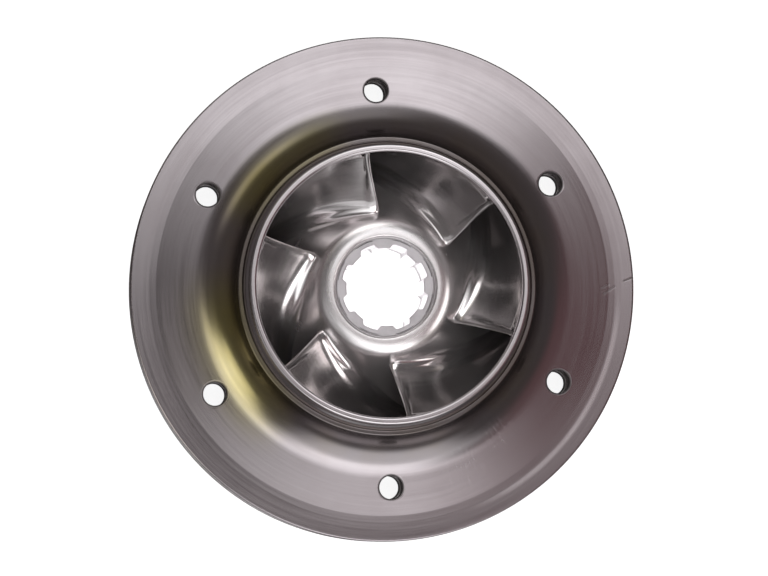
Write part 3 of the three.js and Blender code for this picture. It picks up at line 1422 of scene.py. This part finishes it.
@dataclass
class NeckRing:
    """The cylindrical neck round the suction eye, with its foot in the collar."""

    sizes: ImpellerSizes
    finish: TurnedSteel
    columns: int = 64
    flare_round: float = 1.5 * MM
    foot_rise: float = 1.2 * MM
    foot_round: float = 0.15 * MM
    shoulder_round: float = 0.4 * MM
    step_round: float = 0.8 * MM
    lip_round: float = 0.38 * MM
    lip_flare: float = 0.3 * MM
    lip_height: float = 1.6 * MM
    lip_bend: float = 2 * MM
    longest_step: float = 0.5 * MM

    def build(self, repeat: RoundTheShaft) -> bpy.types.Object:
        """Builds and dresses the neck.

        Args:
            repeat: Tree that repeats a pattern round the shaft.

        Returns:
            The piece.
        """
        sizes = self.sizes
        outer, foot = sizes.neck_outer_radius, sizes.neck_foot_radius
        shoulder = sizes.neck_foot + self.foot_rise
        corners = [
            Corner(sizes.eye_radius, sizes.neck_foot + sizes.flare_rise, self.flare_round),
            Corner(outer, sizes.neck_foot, self.foot_round),
            Corner(foot, sizes.neck_foot, self.foot_round),
            Corner(foot, shoulder, self.shoulder_round),
            Corner(outer, shoulder + (foot - outer), self.step_round),
            Corner(outer, sizes.lip - self.lip_height, self.lip_bend),
            Corner(outer + self.lip_flare, sizes.lip, self.lip_round),
            Corner(sizes.eye_radius, sizes.lip, self.lip_round),
        ]
        section = divided(rounded(corners), self.longest_step)
        sheet = SheetMesh("neck_skin")
        sector = 2 * math.pi / sizes.holes
        rows = [
            sheet.row(on_round(p, sector * (j / self.columns - 0.5)) for j in range(self.columns + 1))
            for p in section
        ]
        for i, row in enumerate(rows):
            sheet.strip(row, rows[(i + 1) % len(rows)])
        piece = repeat.make(sheet.mesh(), sizes.holes, self.finish.material("turned_neck"))
        return placed(piece, Slot.NECK, ["neck_ring"])


@dataclass
class SplinedBush:
    """The matt bush in the nose, with spline teeth round its bore."""

    sizes: ImpellerSizes
    finish: BlastedSteel
    teeth: int = 8
    groove_radius: float = 8.55 * MM
    tip_radius: float = 7.65 * MM
    root_half_angle: float = math.radians(13)
    tip_half_angle: float = math.radians(8.5)
    columns: int = 48
    chamfer: float = 0.15 * MM

    def bore(self, angle: float) -> float:
        """Radius of the bore at an angle from the middle of a tooth, with softened flanks.

        Args:
            angle: Angle from the middle of the tooth.

        Returns:
            The radius.
        """
        share = (abs(angle) - self.tip_half_angle) / (self.root_half_angle - self.tip_half_angle)
        share = min(max(share * 0.8 + 0.1, 0.0), 1.0)
        return self.tip_radius + (self.groove_radius - self.tip_radius) * soft_step(share)

    def build(self, repeat: RoundTheShaft) -> bpy.types.Object:
        """Builds and dresses the bush.

        Args:
            repeat: Tree that repeats a pattern round the shaft.

        Returns:
            The piece.
        """
        pitch = 2 * math.pi / self.teeth
        angles = [pitch * (j / self.columns - 0.5) for j in range(self.columns + 1)]
        top, outer, edge = self.sizes.bush_top, self.sizes.bush_radius, self.chamfer
        sheet = SheetMesh("bush_skin")

        def row(share: float, inset: float, height: float) -> list[int]:
            """Points between the bore and the outside, moved in from the edge by an inset.

            Args:
                share: Share of the way from the bore to the outside.
                inset: Distance that they are moved in.
                height: Height of the points.

            Returns:
                Numbers of the points.
            """
            places = []
            for angle in angles:
                bore = self.bore(angle)
                radius = bore + (outer - bore) * share
                radius += inset if share < 0.5 else -inset
                places.append(on_round(Vector((radius, height)), angle))
            return sheet.row(places)

        rows = [row(0.0, edge, 0.0)]
        rows += [row(0.0, edge * (1 - t), edge * t) for t in (0.5, 1.0)]
        rows += [row(0.0, 0.0, edge + (top - 2 * edge) * t) for t in (0.03, 0.2, 0.4, 0.6, 0.8, 0.97)]
        rows += [row(0.0, edge * t, top - edge * (1 - t)) for t in (0.0, 0.5, 1.0)]
        rows += [row(0.0, edge * 1.3, top)]
        rows += [row(s, 0.0, top) for s in (0.35, 0.5, 0.65, 0.8)]
        rows += [row(1.0, edge * (2.3 - t), top - edge * max(0.0, t - 1.3)) for t in (0.0, 1.3, 1.8, 2.3)]
        rows += [row(1.0, 0.0, edge + (top - 2 * edge) * t) for t in (0.97, 0.7, 0.4, 0.03)]
        rows += [row(1.0, edge * t, edge * (1 - t)) for t in (0.0, 0.5, 1.0)]
        rows += [row(s, 0.0, 0.0) for s in (0.75, 0.5, 0.35)]
        for i, line in enumerate(rows):
            sheet.strip(line, rows[(i + 1) % len(rows)])
        piece = repeat.make(sheet.mesh(), self.teeth, self.finish.material("blasted_bush"))
        return placed(piece, Slot.BUSH, ["splined_bush"])


@dataclass
class Blades:
    """The twisted blades between the shrouds, with the fillets of their weld seams.

    Each blade is ruled by straight lines between a line on the back shroud and a line on the
    front shroud. Both lines run out to the rim while they sweep round the shaft.
    """

    sizes: ImpellerSizes
    front: FrontShroud
    back: BackShroud
    finish: TurnedSteel
    thickness: float = 1.0 * MM
    tip_radius: float = 49.4 * MM
    hub_start: float = 15.3 * MM
    lead_edge_height: float = 12 * MM
    flare_join: float = math.radians(22)
    hub_lead: float = 1.5
    shroud_lead: float = 7.0
    tip_sweep: float = 2.5
    hub_extra: float = 37.8
    hub_decay: float = 2.33
    shroud_decay: float = 3.5
    edge_length: float = 0.4 * MM
    steps_along: int = 90
    steps_across: int = 14
    line_steps: int = 90
    edge_steps: int = 7
    sink: float = 0.04 * MM
    hub_fillet: float = 2.8 * MM
    shroud_fillet: float = 0.6 * MM
    fillet_steps: int = 16
    bead: float = 0.16 * MM
    bead_spread: float = math.radians(10)
    fillet_rise: float = 0.09
    fillet_fade: float = 0.15
    edge_fillet: float = 0.3
    bow: float = 1.5 * MM
    bow_start: float = 0.16
    bow_end: float = 0.7
    hub: MeridianPath = field(init=False)
    shroud: MeridianPath = field(init=False)

    def __post_init__(self) -> None:
        """Lays out the two edge lines, sunk a hair into the shrouds."""
        self.hub = self.hub_line(-self.sink)
        self.shroud = self.shroud_line(-self.sink)

    def hub_line(self, gap: float) -> MeridianPath:
        """Edge line along the back shroud, at a gap over it.

        Args:
            gap: Height over the shroud, below 0 inside it.

        Returns:
            The line.
        """
        back, upright = self.back, math.pi / 2
        top = polar(back.nose_centre, back.nose_round, upright - back.cone_angle)
        height = top.y - (self.hub_start - top.x) * math.tan(back.cone_angle)
        cone_foot = -upright - back.cone_angle
        foot = arc(back.foot_centre, back.foot_radius - gap, cone_foot, -upright, self.line_steps)
        return MeridianPath(
            [
                Corner(self.hub_start, height + gap / math.cos(back.cone_angle)),
                *foot,
                Corner(self.tip_radius, self.sizes.sheet + gap),
            ]
        )

    def shroud_line(self, gap: float) -> MeridianPath:
        """Edge line inside the neck and under the front shroud, at a gap from them.

        Args:
            gap: Distance from the neck and the shroud, below 0 inside them.

        Returns:
            The line.
        """
        sizes, front = self.sizes, self.front
        wall = sizes.eye_radius - gap
        flare = sizes.neck_foot + sizes.flare_rise - gap
        radius = front.fillet_radius + sizes.sheet + gap
        start = math.pi + self.flare_join
        under = arc(front.fillet_centre, radius, start, front.foot_angle, self.line_steps)
        bend = front.bend_inner_radius
        return MeridianPath(
            [
                Corner(wall, sizes.rim_top + self.lead_edge_height),
                Corner(wall, flare),
                *under,
                Corner(bend, front.cone_height(bend, sizes.sheet) - gap),
                Corner(self.tip_radius, sizes.rim_under - gap),
            ]
        )

    def hub_sweep(self, radius: float) -> float:
        """Angle of the hub line at a radius, in degrees."""
        run = (radius - self.hub_start) / MM
        return self.hub_lead + self.hub_extra * (1 - math.exp(-run / self.hub_decay)) + self.tip_sweep * run

    def shroud_sweep(self, radius: float) -> float:
        """Angle of the shroud line at a radius, in degrees.

        Args:
            radius: Distance from the shaft axis.

        Returns:
            The angle.
        """
        start = self.shroud.at(0.0).x
        run = (radius - start) / MM
        full = (self.tip_radius - start) / MM
        extra = self.hub_sweep(self.tip_radius) - self.shroud_lead - self.tip_sweep * full
        return self.shroud_lead + extra * (1 - math.exp(-run / self.shroud_decay)) + self.tip_sweep * run

    def middle(self, along: float, across: float) -> Vector:
        """Point of the middle surface, by share along the blade and across it."""
        low, high = self.edges(along)
        return low.lerp(high, across) + self.bulge(along) * (4 * across * (1 - across))

    def edges(self, along: float) -> tuple[Vector, Vector]:
        """Points of the two edge lines at a share along the blade.

        Args:
            along: Share along the blade.

        Returns:
            The point at the back shroud and the one at the front shroud.
        """
        low, high = self.hub.at(along), self.shroud.at(along)
        at_hub = on_round(low, math.radians(self.hub_sweep(low.x)))
        at_shroud = on_round(high, math.radians(self.shroud_sweep(high.x)))
        return at_hub, at_shroud

    def bulge(self, along: float) -> Vector:
        """Step by which the middle of the blade bows away from the eye.

        Args:
            along: Share along the blade.

        Returns:
            The step.
        """
        step = SLOPE_STEP
        along = min(max(along, step), 1 - step)
        before, here, after = (self.edges(a) for a in (along - step, along, along + step))
        run = (after[0] + after[1]) - (before[0] + before[1])
        away = run.cross(here[1] - here[0]).normalized()
        rise = min(1.0, along / self.bow_start)
        fall = min(1.0, (1.0 - along) / self.bow_end)
        return away * (self.bow * soft_step(rise) * soft_step(fall))

    def shift(self, along: float, across: float) -> Vector:
        """Step from the middle surface to the skin that keeps the edges on their shrouds.

        Args:
            along: Share along the blade.
            across: Share across the blade.

        Returns:
            The step.
        """
        step = SLOPE_STEP
        along = min(max(along, step), 1 - step)
        place = self.middle(along, across)
        run = self.middle(along + step, across) - self.middle(along - step, across)
        rise = self.middle(along, min(across + 0.02, 1.0)) - self.middle(along, max(across - 0.02, 0.0))
        normal = run.cross(rise).normalized()
        outward = Vector((place.x, place.y, 0.0)).normalized()
        flat = []
        for line in (self.hub, self.shroud):
            slope = line.slope(along)
            wall = outward * -slope.y + Vector((0.0, 0.0, slope.x))
            flat.append((normal - wall * normal.dot(wall)).normalized())
        aside = flat[0].lerp(flat[1], across)
        return aside * (self.thickness / 2 / aside.dot(normal))

    def stations(self) -> list[tuple[float, float]]:
        """Shares along the blade with the share of the full thickness at each.

        Returns:
            Pairs that round off the leading and the trailing edge.
        """
        nose = self.edge_length / self.shroud.marks[-1]
        edge = []
        for k in range(self.edge_steps + 1):
            turn = math.pi / 2 * k / self.edge_steps
            edge.append((nose * (1 - math.cos(turn)), math.sin(turn) ** 0.75))
        body = [
            (nose + (1 - 2 * nose) * (k / self.steps_along) ** 1.25, 1.0)
            for k in range(1, self.steps_along)
        ]
        return [*edge, *body, *((1 - a, t) for a, t in edge[::-1])]

    def levels(self, height: float) -> list[tuple[float, float, float]]:
        """Rows of a blade's side, from the back shroud to the front one.

        Args:
            height: Height of the blade between the shrouds.

        Returns:
            For each row its share of the height, the swell of its fillet, and how closely it
            keeps to the back shroud, from 1 at the fillet's toe to 0.
        """
        arcs = [math.pi / 2 * k / self.fillet_steps for k in range(self.fillet_steps + 1)]
        low = []
        for turn in arcs:
            bead = self.bead * math.exp(-(((turn - math.pi / 4) / self.bead_spread) ** 2))
            up = self.hub_fillet * (1 - math.cos(turn)) + bead * math.cos(turn)
            swell = self.hub_fillet * (1 - math.sin(turn)) + bead * math.sin(turn)
            low.append((up, swell, math.cos(turn)))
        high = [
            (height - self.shroud_fillet * (1 - math.cos(a)), self.shroud_fillet * (1 - math.sin(a)), 0.0)
            for a in arcs[::-1]
        ]
        bottom, top = low[-1][0], high[0][0]
        step = (top - bottom) / self.steps_across
        body = [(bottom + step * k, 0.0, 0.0) for k in range(1, self.steps_across)]
        return [(up / height, swell, keep) for up, swell, keep in [*low, *body, *high]]

    def side(self, along: float, thick: float, hand: float) -> list[Vector]:
        """Points up one side of a blade.

        Args:
            along: Share along the blade.
            thick: Share of the full thickness there.
            hand: 1 for one side and -1 for the other.

        Returns:
            The points, from the toe of the lower fillet to that of the upper one.
        """
        points = []
        height = (self.middle(along, 1.0) - self.middle(along, 0.0)).length
        rise = self.edge_fillet + (1 - self.edge_fillet) * min(1.0, along / self.fillet_rise)
        fade = rise * min(1.0, (1.0 - along) / self.fillet_fade)
        for across, swell, keep in self.levels(height):
            middle = self.middle(along, across)
            aside = self.shift(along, across)
            point = middle + aside * hand * thick * (1 + swell * fade / aside.length)
            over = middle.z - self.back.height(middle.xy.length)
            settled = self.back.height(point.xy.length) + over
            point.z += (settled - point.z) * keep
            points.append(point)
        return points

    def mesh(self) -> bpy.types.Mesh:
        """Builds one blade.

        Returns:
            Its mesh.
        """
        sheet = SheetMesh("blades_skin")
        rows = []
        for along, thick in self.stations():
            left = sheet.row(self.side(along, thick, 1.0))
            if thick < 1e-6:
                rows.append(left * 2)
                continue
            rows.append([*left, *sheet.row(self.side(along, thick, -1.0))])
        count = len(rows[0]) // 2
        for before, after in zip(rows, rows[1:]):
            sheet.strip(before[:count], after[:count])
            sheet.strip(after[count:], before[count:])
            for j in (0, count - 1):
                corners = (before[j], after[j], after[count + j], before[count + j])
                sheet.faces.append(tuple(dict.fromkeys(corners)))
        return sheet.mesh()

    def build(self, repeat: RoundTheShaft) -> bpy.types.Object:
        """Builds and dresses the blades.

        Args:
            repeat: Tree that repeats a pattern round the shaft.

        Returns:
            The piece.
        """
        piece = repeat.make(self.mesh(), self.sizes.blades, self.finish.material("brushed_blades"))
        nodes = [f"blade_{i + 1}" for i in range(self.sizes.blades)]
        return placed(piece, Slot.BLADE, nodes)


@dataclass
class RingSeam:
    """A weld bead that runs round the shaft, between two pieces."""

    name: str
    slot: Slot
    place: Vector
    finish: TurnedSteel
    bead: float = 0.26 * MM
    points: int = 360

    @classmethod
    def round_neck(cls, sizes: ImpellerSizes, finish: TurnedSteel) -> "RingSeam":
        """The bead between the collar and the foot of the neck.

        Args:
            sizes: Shared sizes.
            finish: Finish of the bead.

        Returns:
            The seam.
        """
        radius = sizes.neck_foot_radius + sizes.weld_gap / 2
        place = Vector((radius, sizes.collar_top - NECK_SEAM_DEPTH))
        return cls("neck_weld", Slot.NECK, place, finish)

    @classmethod
    def round_bush(cls, sizes: ImpellerSizes, back: BackShroud, finish: TurnedSteel) -> "RingSeam":
        """The bead between the bush and the hole in the nose."""
        radius = (sizes.bush_radius + back.nose_hole_radius) / 2
        return cls("bush_weld", Slot.BUSH, Vector((radius, sizes.bush_top)), finish, bead=0.24 * MM)

    def build(self, seam: WeldSeam) -> bpy.types.Object:
        """Builds and dresses the bead.

        Args:
            seam: Tree that lays a bead.

        Returns:
            The piece.
        """
        mesh = bpy.data.meshes.new(self.name)
        turns = [2 * math.pi * k / self.points for k in range(self.points)]
        edges = [(k, (k + 1) % self.points) for k in range(self.points)]
        mesh.from_pydata([on_round(self.place, turn)[:] for turn in turns], edges, [])
        piece = seam.make(mesh, self.bead, self.finish.material(f"dull_{self.name}"))
        return placed(piece, self.slot, [])


def placed(piece: bpy.types.Object, slot: Slot, nodes: Sequence[str]) -> bpy.types.Object:
    """Puts a finished piece on its body and lets it stand for its CAD nodes.

    Args:
        piece: The piece, as a plain mesh.
        slot: Material slot of the record that its finish belongs to. Not used.
        nodes: CAD nodes that it replaces.

    Returns:
        The piece.
    """
    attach(piece, BODY)
    if nodes:
        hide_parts(*nodes)
    return piece


# Studio


@dataclass(frozen=True)
class PhotoView:
    """The photograph's view of the impeller, as angles of the model."""

    image_up: float = math.radians(-2.2)
    camera_side: float = math.radians(121.5)
    tilt: float = math.radians(5.8)
    distance: float = 0.85
    width: float = 0.1515
    target_height: float = 12 * MM

    def direction(self, image_angle: float, tilt: float) -> Vector:
        """Direction from the impeller, by an angle in the image and a tilt from straight up.

        Args:
            image_angle: Degrees in the image, anticlockwise from the right.
            tilt: Degrees from the shaft axis.

        Returns:
            A unit vector.
        """
        turn = math.radians(image_angle - 90) + self.image_up
        lean = math.radians(tilt)
        flat = Vector((math.cos(turn), math.sin(turn), 0.0)) * math.sin(lean)
        return flat + Vector((0.0, 0.0, math.cos(lean)))

    def camera(self) -> bpy.types.Object:
        """Makes the camera and hands it to the scene.

        Returns:
            The camera.
        """
        data = bpy.data.cameras.new("photo_camera")
        data.type = "PERSP"
        data.sensor_width = 36.0
        data.lens = data.sensor_width * self.distance / self.width
        data.clip_start, data.clip_end = 0.01, 50.0
        camera = bpy.data.objects.new("photo_camera", data)
        bpy.context.scene.collection.objects.link(camera)
        side = Vector((math.cos(self.camera_side), math.sin(self.camera_side), 0.0))
        back = side * math.sin(self.tilt) + Vector((0.0, 0.0, math.cos(self.tilt)))
        up = Vector((math.cos(self.image_up), math.sin(self.image_up), 0.0))
        right = up.cross(back).normalized()
        turn = Matrix((right, back.cross(right), back)).transposed()
        target = Vector((0.0, 0.0, self.target_height))
        camera.matrix_world = Matrix.Translation(target + back * self.distance) @ turn.to_4x4()
        bpy.context.scene.camera = camera
        return camera


@dataclass(frozen=True)
class Softbox:
    """A soft-edged light in the surroundings, placed by where it shows in the photograph.

    The image angle runs anticlockwise from the right of the photograph, and the tilt is measured
    from the shaft axis. The half sizes and the width of the soft edge are angles too, in degrees.
    """

    image_angle: float
    tilt: float
    along: float
    across: float
    edge: float
    strength: float
    colour: Colour = (0.98, 0.99, 1.0)

    def add_to(self, graph: Graph, colour: object, ray: object, view: PhotoView) -> bpy.types.NodeSocket:
        """Adds the light to a colour.

        Args:
            graph: Graph of the world.
            colour: Colour of the surroundings so far.
            ray: Direction that is looked up.
            view: View that turns image angles into directions.

        Returns:
            The colour with the light.
        """
        middle = view.direction(self.image_angle, self.tilt)
        side = view.direction(self.image_angle + 90.0, 90.0)
        up = middle.cross(side)
        mask = graph.dot(ray, middle).ramp(0.0, 0.2)
        for axis, half in ((side, self.across), (up, self.along)):
            inner, outer = math.radians(half - self.edge), math.radians(half + self.edge)
            mask = mask * graph.dot(ray, axis).size().ramp(inner, outer, 1.0, 0.0)
        light = tuple(c * self.strength for c in self.colour)
        return graph.mix(mask, colour, (*light, 1.0), "ADD")


@dataclass(frozen=True)
class PieceLight:
    """A soft distant light that falls only on some pieces, placed as a softbox is."""

    image_angle: float
    tilt: float
    width: float
    brightness: float
    colour: Colour
    pieces: tuple[str, ...]
    glossy: bool = True

    def build(self, number: int, view: PhotoView) -> bpy.types.Object:
        """Makes the light.

        Args:
            number: Number that its name ends with.
            view: View that turns image angles into directions.

        Returns:
            The light.
        """
        name = f"piece_light_{number}"
        receivers = bpy.data.collections.new(f"{name}_pieces")
        for piece in self.pieces:
            receivers.objects.link(bpy.data.objects[piece])
        data = bpy.data.lights.new(name, "SUN")
        half = math.radians(self.width / 2)
        data.angle = 2 * half
        data.color = self.colour
        data.energy = self.brightness * 2 * math.pi * (1 - math.cos(half))
        light = bpy.data.objects.new(name, data)
        bpy.context.scene.collection.objects.link(light)
        turn = view.direction(self.image_angle, self.tilt).to_track_quat("Z", "Y")
        light.matrix_world = turn.to_matrix().to_4x4()
        light.light_linking.receiver_collection = receivers
        light.visible_glossy = self.glossy
        return light


@dataclass(frozen=True)
class PaperGlow:
    """White paper under the bore, which lights the bore's wall from below."""

    radius: float = 7.4 * MM
    height: float = 0.3 * MM
    brightness: float = 2.0

    def build(self) -> bpy.types.Object:
        """Makes the light, which faces up and doesn't show itself.

        Returns:
            The light.
        """
        data = bpy.data.lights.new("paper_glow", "AREA")
        data.shape = "DISK"
        data.size = 2 * self.radius
        data.energy = self.brightness * (math.pi * self.radius) ** 2
        light = bpy.data.objects.new("paper_glow", data)
        bpy.context.scene.collection.objects.link(light)
        light.matrix_world = Matrix.Translation((0.0, 0.0, self.height)) @ Matrix.Rotation(math.pi, 4, "X")
        light.visible_camera = False
        return light


@dataclass(frozen=True)
class Studio:
    """Pale floor, dim surroundings and soft lights over the impeller."""

    view: PhotoView
    softboxes: tuple[Softbox, ...]
    piece_lights: tuple[PieceLight, ...] = ()
    paper: PaperGlow = PaperGlow()
    floor_radius: float = 3.0
    floor_gap: float = 0.05 * MM
    surround: Colour = (0.076, 0.068, 0.068)
    backdrop: Colour = (1.0, 1.0, 1.0)

    def build_floor(self) -> bpy.types.Object:
        """Makes the floor, which shows pale through the bore and the holes.

        Returns:
            The floor.
        """
        shell = bmesh.new()
        bmesh.ops.create_circle(shell, cap_ends=True, radius=self.floor_radius, segments=96)
        bmesh.ops.translate(shell, verts=shell.verts, vec=(0.0, 0.0, -self.floor_gap))
        mesh = bpy.data.meshes.new("floor")
        shell.to_mesh(mesh)
        shell.free()
        floor = bpy.data.objects.new("floor", mesh)
        bpy.context.scene.collection.objects.link(floor)
        material = bpy.data.materials.new("pale_floor")
        material.use_nodes = True
        material.node_tree.nodes.clear()
        graph = Graph(material.node_tree)
        paper = graph.add("ShaderNodeBsdfDiffuse", Color=(0.8, 0.8, 0.8, 1.0))
        glow = graph.add("ShaderNodeEmission", Color=(1.0, 1.0, 1.0, 1.0), Strength=0.9)
        both = graph.add("ShaderNodeAddShader")
        graph.feed(both.inputs[0], paper.outputs["BSDF"])
        graph.feed(both.inputs[1], glow.outputs["Emission"])
        graph.add("ShaderNodeOutputMaterial", Surface=both.outputs["Shader"])
        mesh.materials.append(material)
        floor.visible_glossy = False
        return floor

    def build_surround(self) -> None:
        """Gives the world a pale backdrop for the camera and dim surroundings for reflections."""
        world = bpy.data.worlds.new("studio")
        world.use_nodes = True
        world.node_tree.nodes.clear()
        graph = Graph(world.node_tree)
        ray = graph.add("ShaderNodeTexCoord").outputs["Generated"]
        colour: object = (*self.surround, 1.0)
        for softbox in self.softboxes:
            colour = softbox.add_to(graph, colour, ray, self.view)
        seen = graph.add("ShaderNodeLightPath").outputs["Is Camera Ray"]
        colour = graph.mix(seen, colour, (*self.backdrop, 1.0))
        back = graph.add("ShaderNodeBackground", Color=colour, Strength=1.0)
        graph.add("ShaderNodeOutputWorld", Surface=back.outputs["Background"])
        bpy.context.scene.world = world

    def build(self) -> None:
        """Builds the whole studio round the impeller."""
        self.build_floor()
        self.build_surround()
        for number, light in enumerate(self.piece_lights, 1):
            light.build(number, self.view)
        self.paper.build()
        bpy.context.scene.view_settings.view_transform = "Standard"
        self.view.camera()


def face_place(angle: float, radius: float) -> tuple[float, float]:
    """Point at an angle of the model, in degrees, and a radius in millimetres."""
    turn = math.radians(angle)
    return radius * MM * math.cos(turn), radius * MM * math.sin(turn)


def rim_marks() -> tuple[Scratch, ...]:
    """Nick at the rim and the dents beside it, placed as the photograph shows them.

    Returns:
        The marks.
    """
    return (
        Scratch(face_place(-90.1, 48.1), face_place(-89.3, 50.1), 0.3 * MM, 0.7),
        Scratch(face_place(-93.3, 44.0), face_place(-91.4, 46.2), 0.4 * MM, 0.32),
        Scratch(face_place(-91.8, 43.4), face_place(-90.9, 45.0), 0.28 * MM, 0.28),
    )


def cone_scuffs() -> tuple[Scuff, ...]:
    """Patches of light strokes on the cone, placed as the photograph shows them.

    Returns:
        The patches.
    """
    return (
        Scuff(face_place(-144.0, 35.8), 4.5 * MM, math.radians(43), 0.4),
        Scuff(face_place(-157.5, 39.0), 5.5 * MM, math.radians(20), 0.24),
    )


def front_finish_and_painted_light(hole_shade: HoleShade) -> TurnedSteel:
    """The finish of the front shroud, with its marks and heat tints, a painted highlight on an arc by the
    rim, and painted shade at the collar's foot and round the holes.

    Args:
        hole_shade: Dark rings round its holes.

    Returns:
        The finish.
    """
    # Painted highlight: a light arc just inside the rim, on one side only.
    rim_highlight = RingTint(
        inner=47.1 * MM,
        outer=47.7 * MM,
        colour=(0.96, 0.94, 0.95),
        amount=0.95,
        even=0.85,
        angle=math.radians(-127),
        spread=math.radians(36),
        start=46.3 * MM,
    )
    return TurnedSteel(
        colour=(0.47, 0.431, 0.443),
        dull_colour=(0.38, 0.335, 0.345),
        roughness=0.22,
        scratches=rim_marks(),
        scuffs=cone_scuffs(),
        painted_hole_shade=hole_shade,
        tints=(
            RingTint(30 * MM, 37 * MM),
            RingTint(32 * MM, 43 * MM, STRAW, 0.9, 0.7, 0.0, math.radians(113), math.radians(34)),
            RingTint(32 * MM, 38 * MM, STRAW, 0.9, 0.7, 0.0, math.radians(38), math.radians(30)),
            rim_highlight,
            # Painted shade: a dark ring at the fillet's foot, where it turns up into the collar.
            RingTint(29.6 * MM, 31 * MM, (0.10, 0.085, 0.08), 0.9, 0.8),
        ),
    )


def back_finish_and_highlight(hole_shade: HoleShade) -> TurnedSteel:
    """The bright finish of the back shroud, with a painted highlight on its nose, a lighter and slightly
    rougher ring, and painted shade round its holes.

    Args:
        hole_shade: Dark rings round its holes.

    Returns:
        The finish.
    """
    return TurnedSteel(
        colour=BRIGHT_STEEL,
        roughness=0.24,
        metallic=0.9,
        line_height=0.008 * MM,
        painted_hole_shade=hole_shade,
        # Painted highlight: a lighter, slightly rougher ring on the nose.
        tints=(RingTint(12 * MM, 14 * MM, (0.93, 0.92, 0.93), 0.4, 0.6, 0.06),),
    )


def blade_finish_and_shade() -> TurnedSteel:
    """The brushed finish of the blades, with painted shade: as bright as the back shroud at their inner
    ends and darker further out, deep in the eye.

    Returns:
        The finish.
    """
    return TurnedSteel(
        colour=(0.5, 0.475, 0.475),
        dull_colour=(0.4, 0.37, 0.37),
        roughness=0.18,
        metallic=0.92,
        line_pitch=0.8 * MM,
        line_height=0.012 * MM,
        # Painted shade: bright steel within about 20 mm of the shaft, darker beyond.
        tints=(RingTint(19.5 * MM, 22.5 * MM, BRIGHT_STEEL, 1.0, 1.0),),
    )


def softboxes() -> tuple[Softbox, ...]:
    """The soft lights that the bands and streaks on the steel reflect.

    Returns:
        The lights.
    """
    return (
        Softbox(75.0, 19.0, 13.0, 11.0, 5.0, 1.68),
        Softbox(100.0, 50.0, 16.0, 18.0, 9.0, 0.3),
        Softbox(269.0, 27.5, 14.5, 15.0, 7.0, 1.65),
        Softbox(273.0, 60.0, 22.0, 24.0, 8.0, 0.78),
        Softbox(209.0, 43.0, 22.0, 11.0, 6.0, 0.35),
        Softbox(133.0, 56.0, 8.0, 14.0, 6.0, 0.5, (1.0, 0.95, 0.82)),
        Softbox(345.0, 33.0, 24.0, 17.0, 10.0, 0.08, (1.0, 0.25, 0.3)),
    )


def piece_lights() -> tuple[PieceLight, ...]:
    """The lights that fall only on the pieces in the eye, or only on the front shroud.

    Returns:
        The lights.
    """
    eye, outside = ("blades_skin", "back_shroud_skin"), ("front_shroud_skin",)
    return (
        PieceLight(345.0, 50.0, 32.0, 2.4, PLAIN_LIGHT, eye),
        PieceLight(100.0, 50.0, 30.0, 2.0, PLAIN_LIGHT, eye),
        PieceLight(288.0, 44.0, 26.0, 2.0, PLAIN_LIGHT, eye),
        PieceLight(200.0, 4.0, 26.0, 0.3, PLAIN_LIGHT, eye),
        PieceLight(213.7, 5.8, 60.0, 0.9, PLAIN_LIGHT, eye, glossy=False),
        PieceLight(209.0, 30.0, 24.0, 0.95, WARM_LIGHT, outside),
        PieceLight(209.0, 47.0, 24.0, 0.9, WARM_LIGHT, outside),
        PieceLight(209.0, 64.0, 22.0, 0.8, WARM_LIGHT, outside),
    )


def main() -> None:
    """Builds the impeller and the studio, and reports each piece."""
    logging.basicConfig(level=logging.INFO, format="%(message)s")
    sizes = ImpellerSizes.from_frame()
    holes = ToolingHoles()
    hole_shade = HoleShade(holes.radius, holes.circle_radius, sizes.holes)
    neck_steel = TurnedSteel(colour=(0.7, 0.66, 0.67), dull_colour=(0.55, 0.5, 0.51), roughness=0.18)
    dull_weld = TurnedSteel(
        colour=(0.2, 0.17, 0.16), dull_colour=(0.1, 0.085, 0.08), roughness=0.42, anisotropy=0.0
    )
    bright_weld = TurnedSteel(
        colour=(0.8, 0.77, 0.78), dull_colour=(0.5, 0.47, 0.47), roughness=0.4, metallic=0.8
    )
    front = FrontShroud(sizes, holes, front_finish_and_painted_light(hole_shade))
    back = BackShroud(sizes, holes, back_finish_and_highlight(hole_shade))
    neck = NeckRing(sizes, neck_steel)
    bush = SplinedBush(sizes, BlastedSteel((0.92, 0.89, 0.91), 0.45))
    blades = Blades(sizes, front, back, blade_finish_and_shade())
    repeat = RoundTheShaft()
    seam = WeldSeam()
    pieces = [
        front.build(repeat),
        back.build(repeat),
        neck.build(repeat),
        bush.build(repeat),
        blades.build(repeat),
        RingSeam.round_neck(sizes, dull_weld).build(seam),
        RingSeam.round_bush(sizes, back, bright_weld).build(seam),
    ]
    for piece in pieces:
        LOG.info("%s: %d faces", piece.name, len(piece.data.polygons))
    Studio(PhotoView(), softboxes(), piece_lights()).build()
    bpy.context.view_layer.update()


if __name__ == "__main__":
    main()
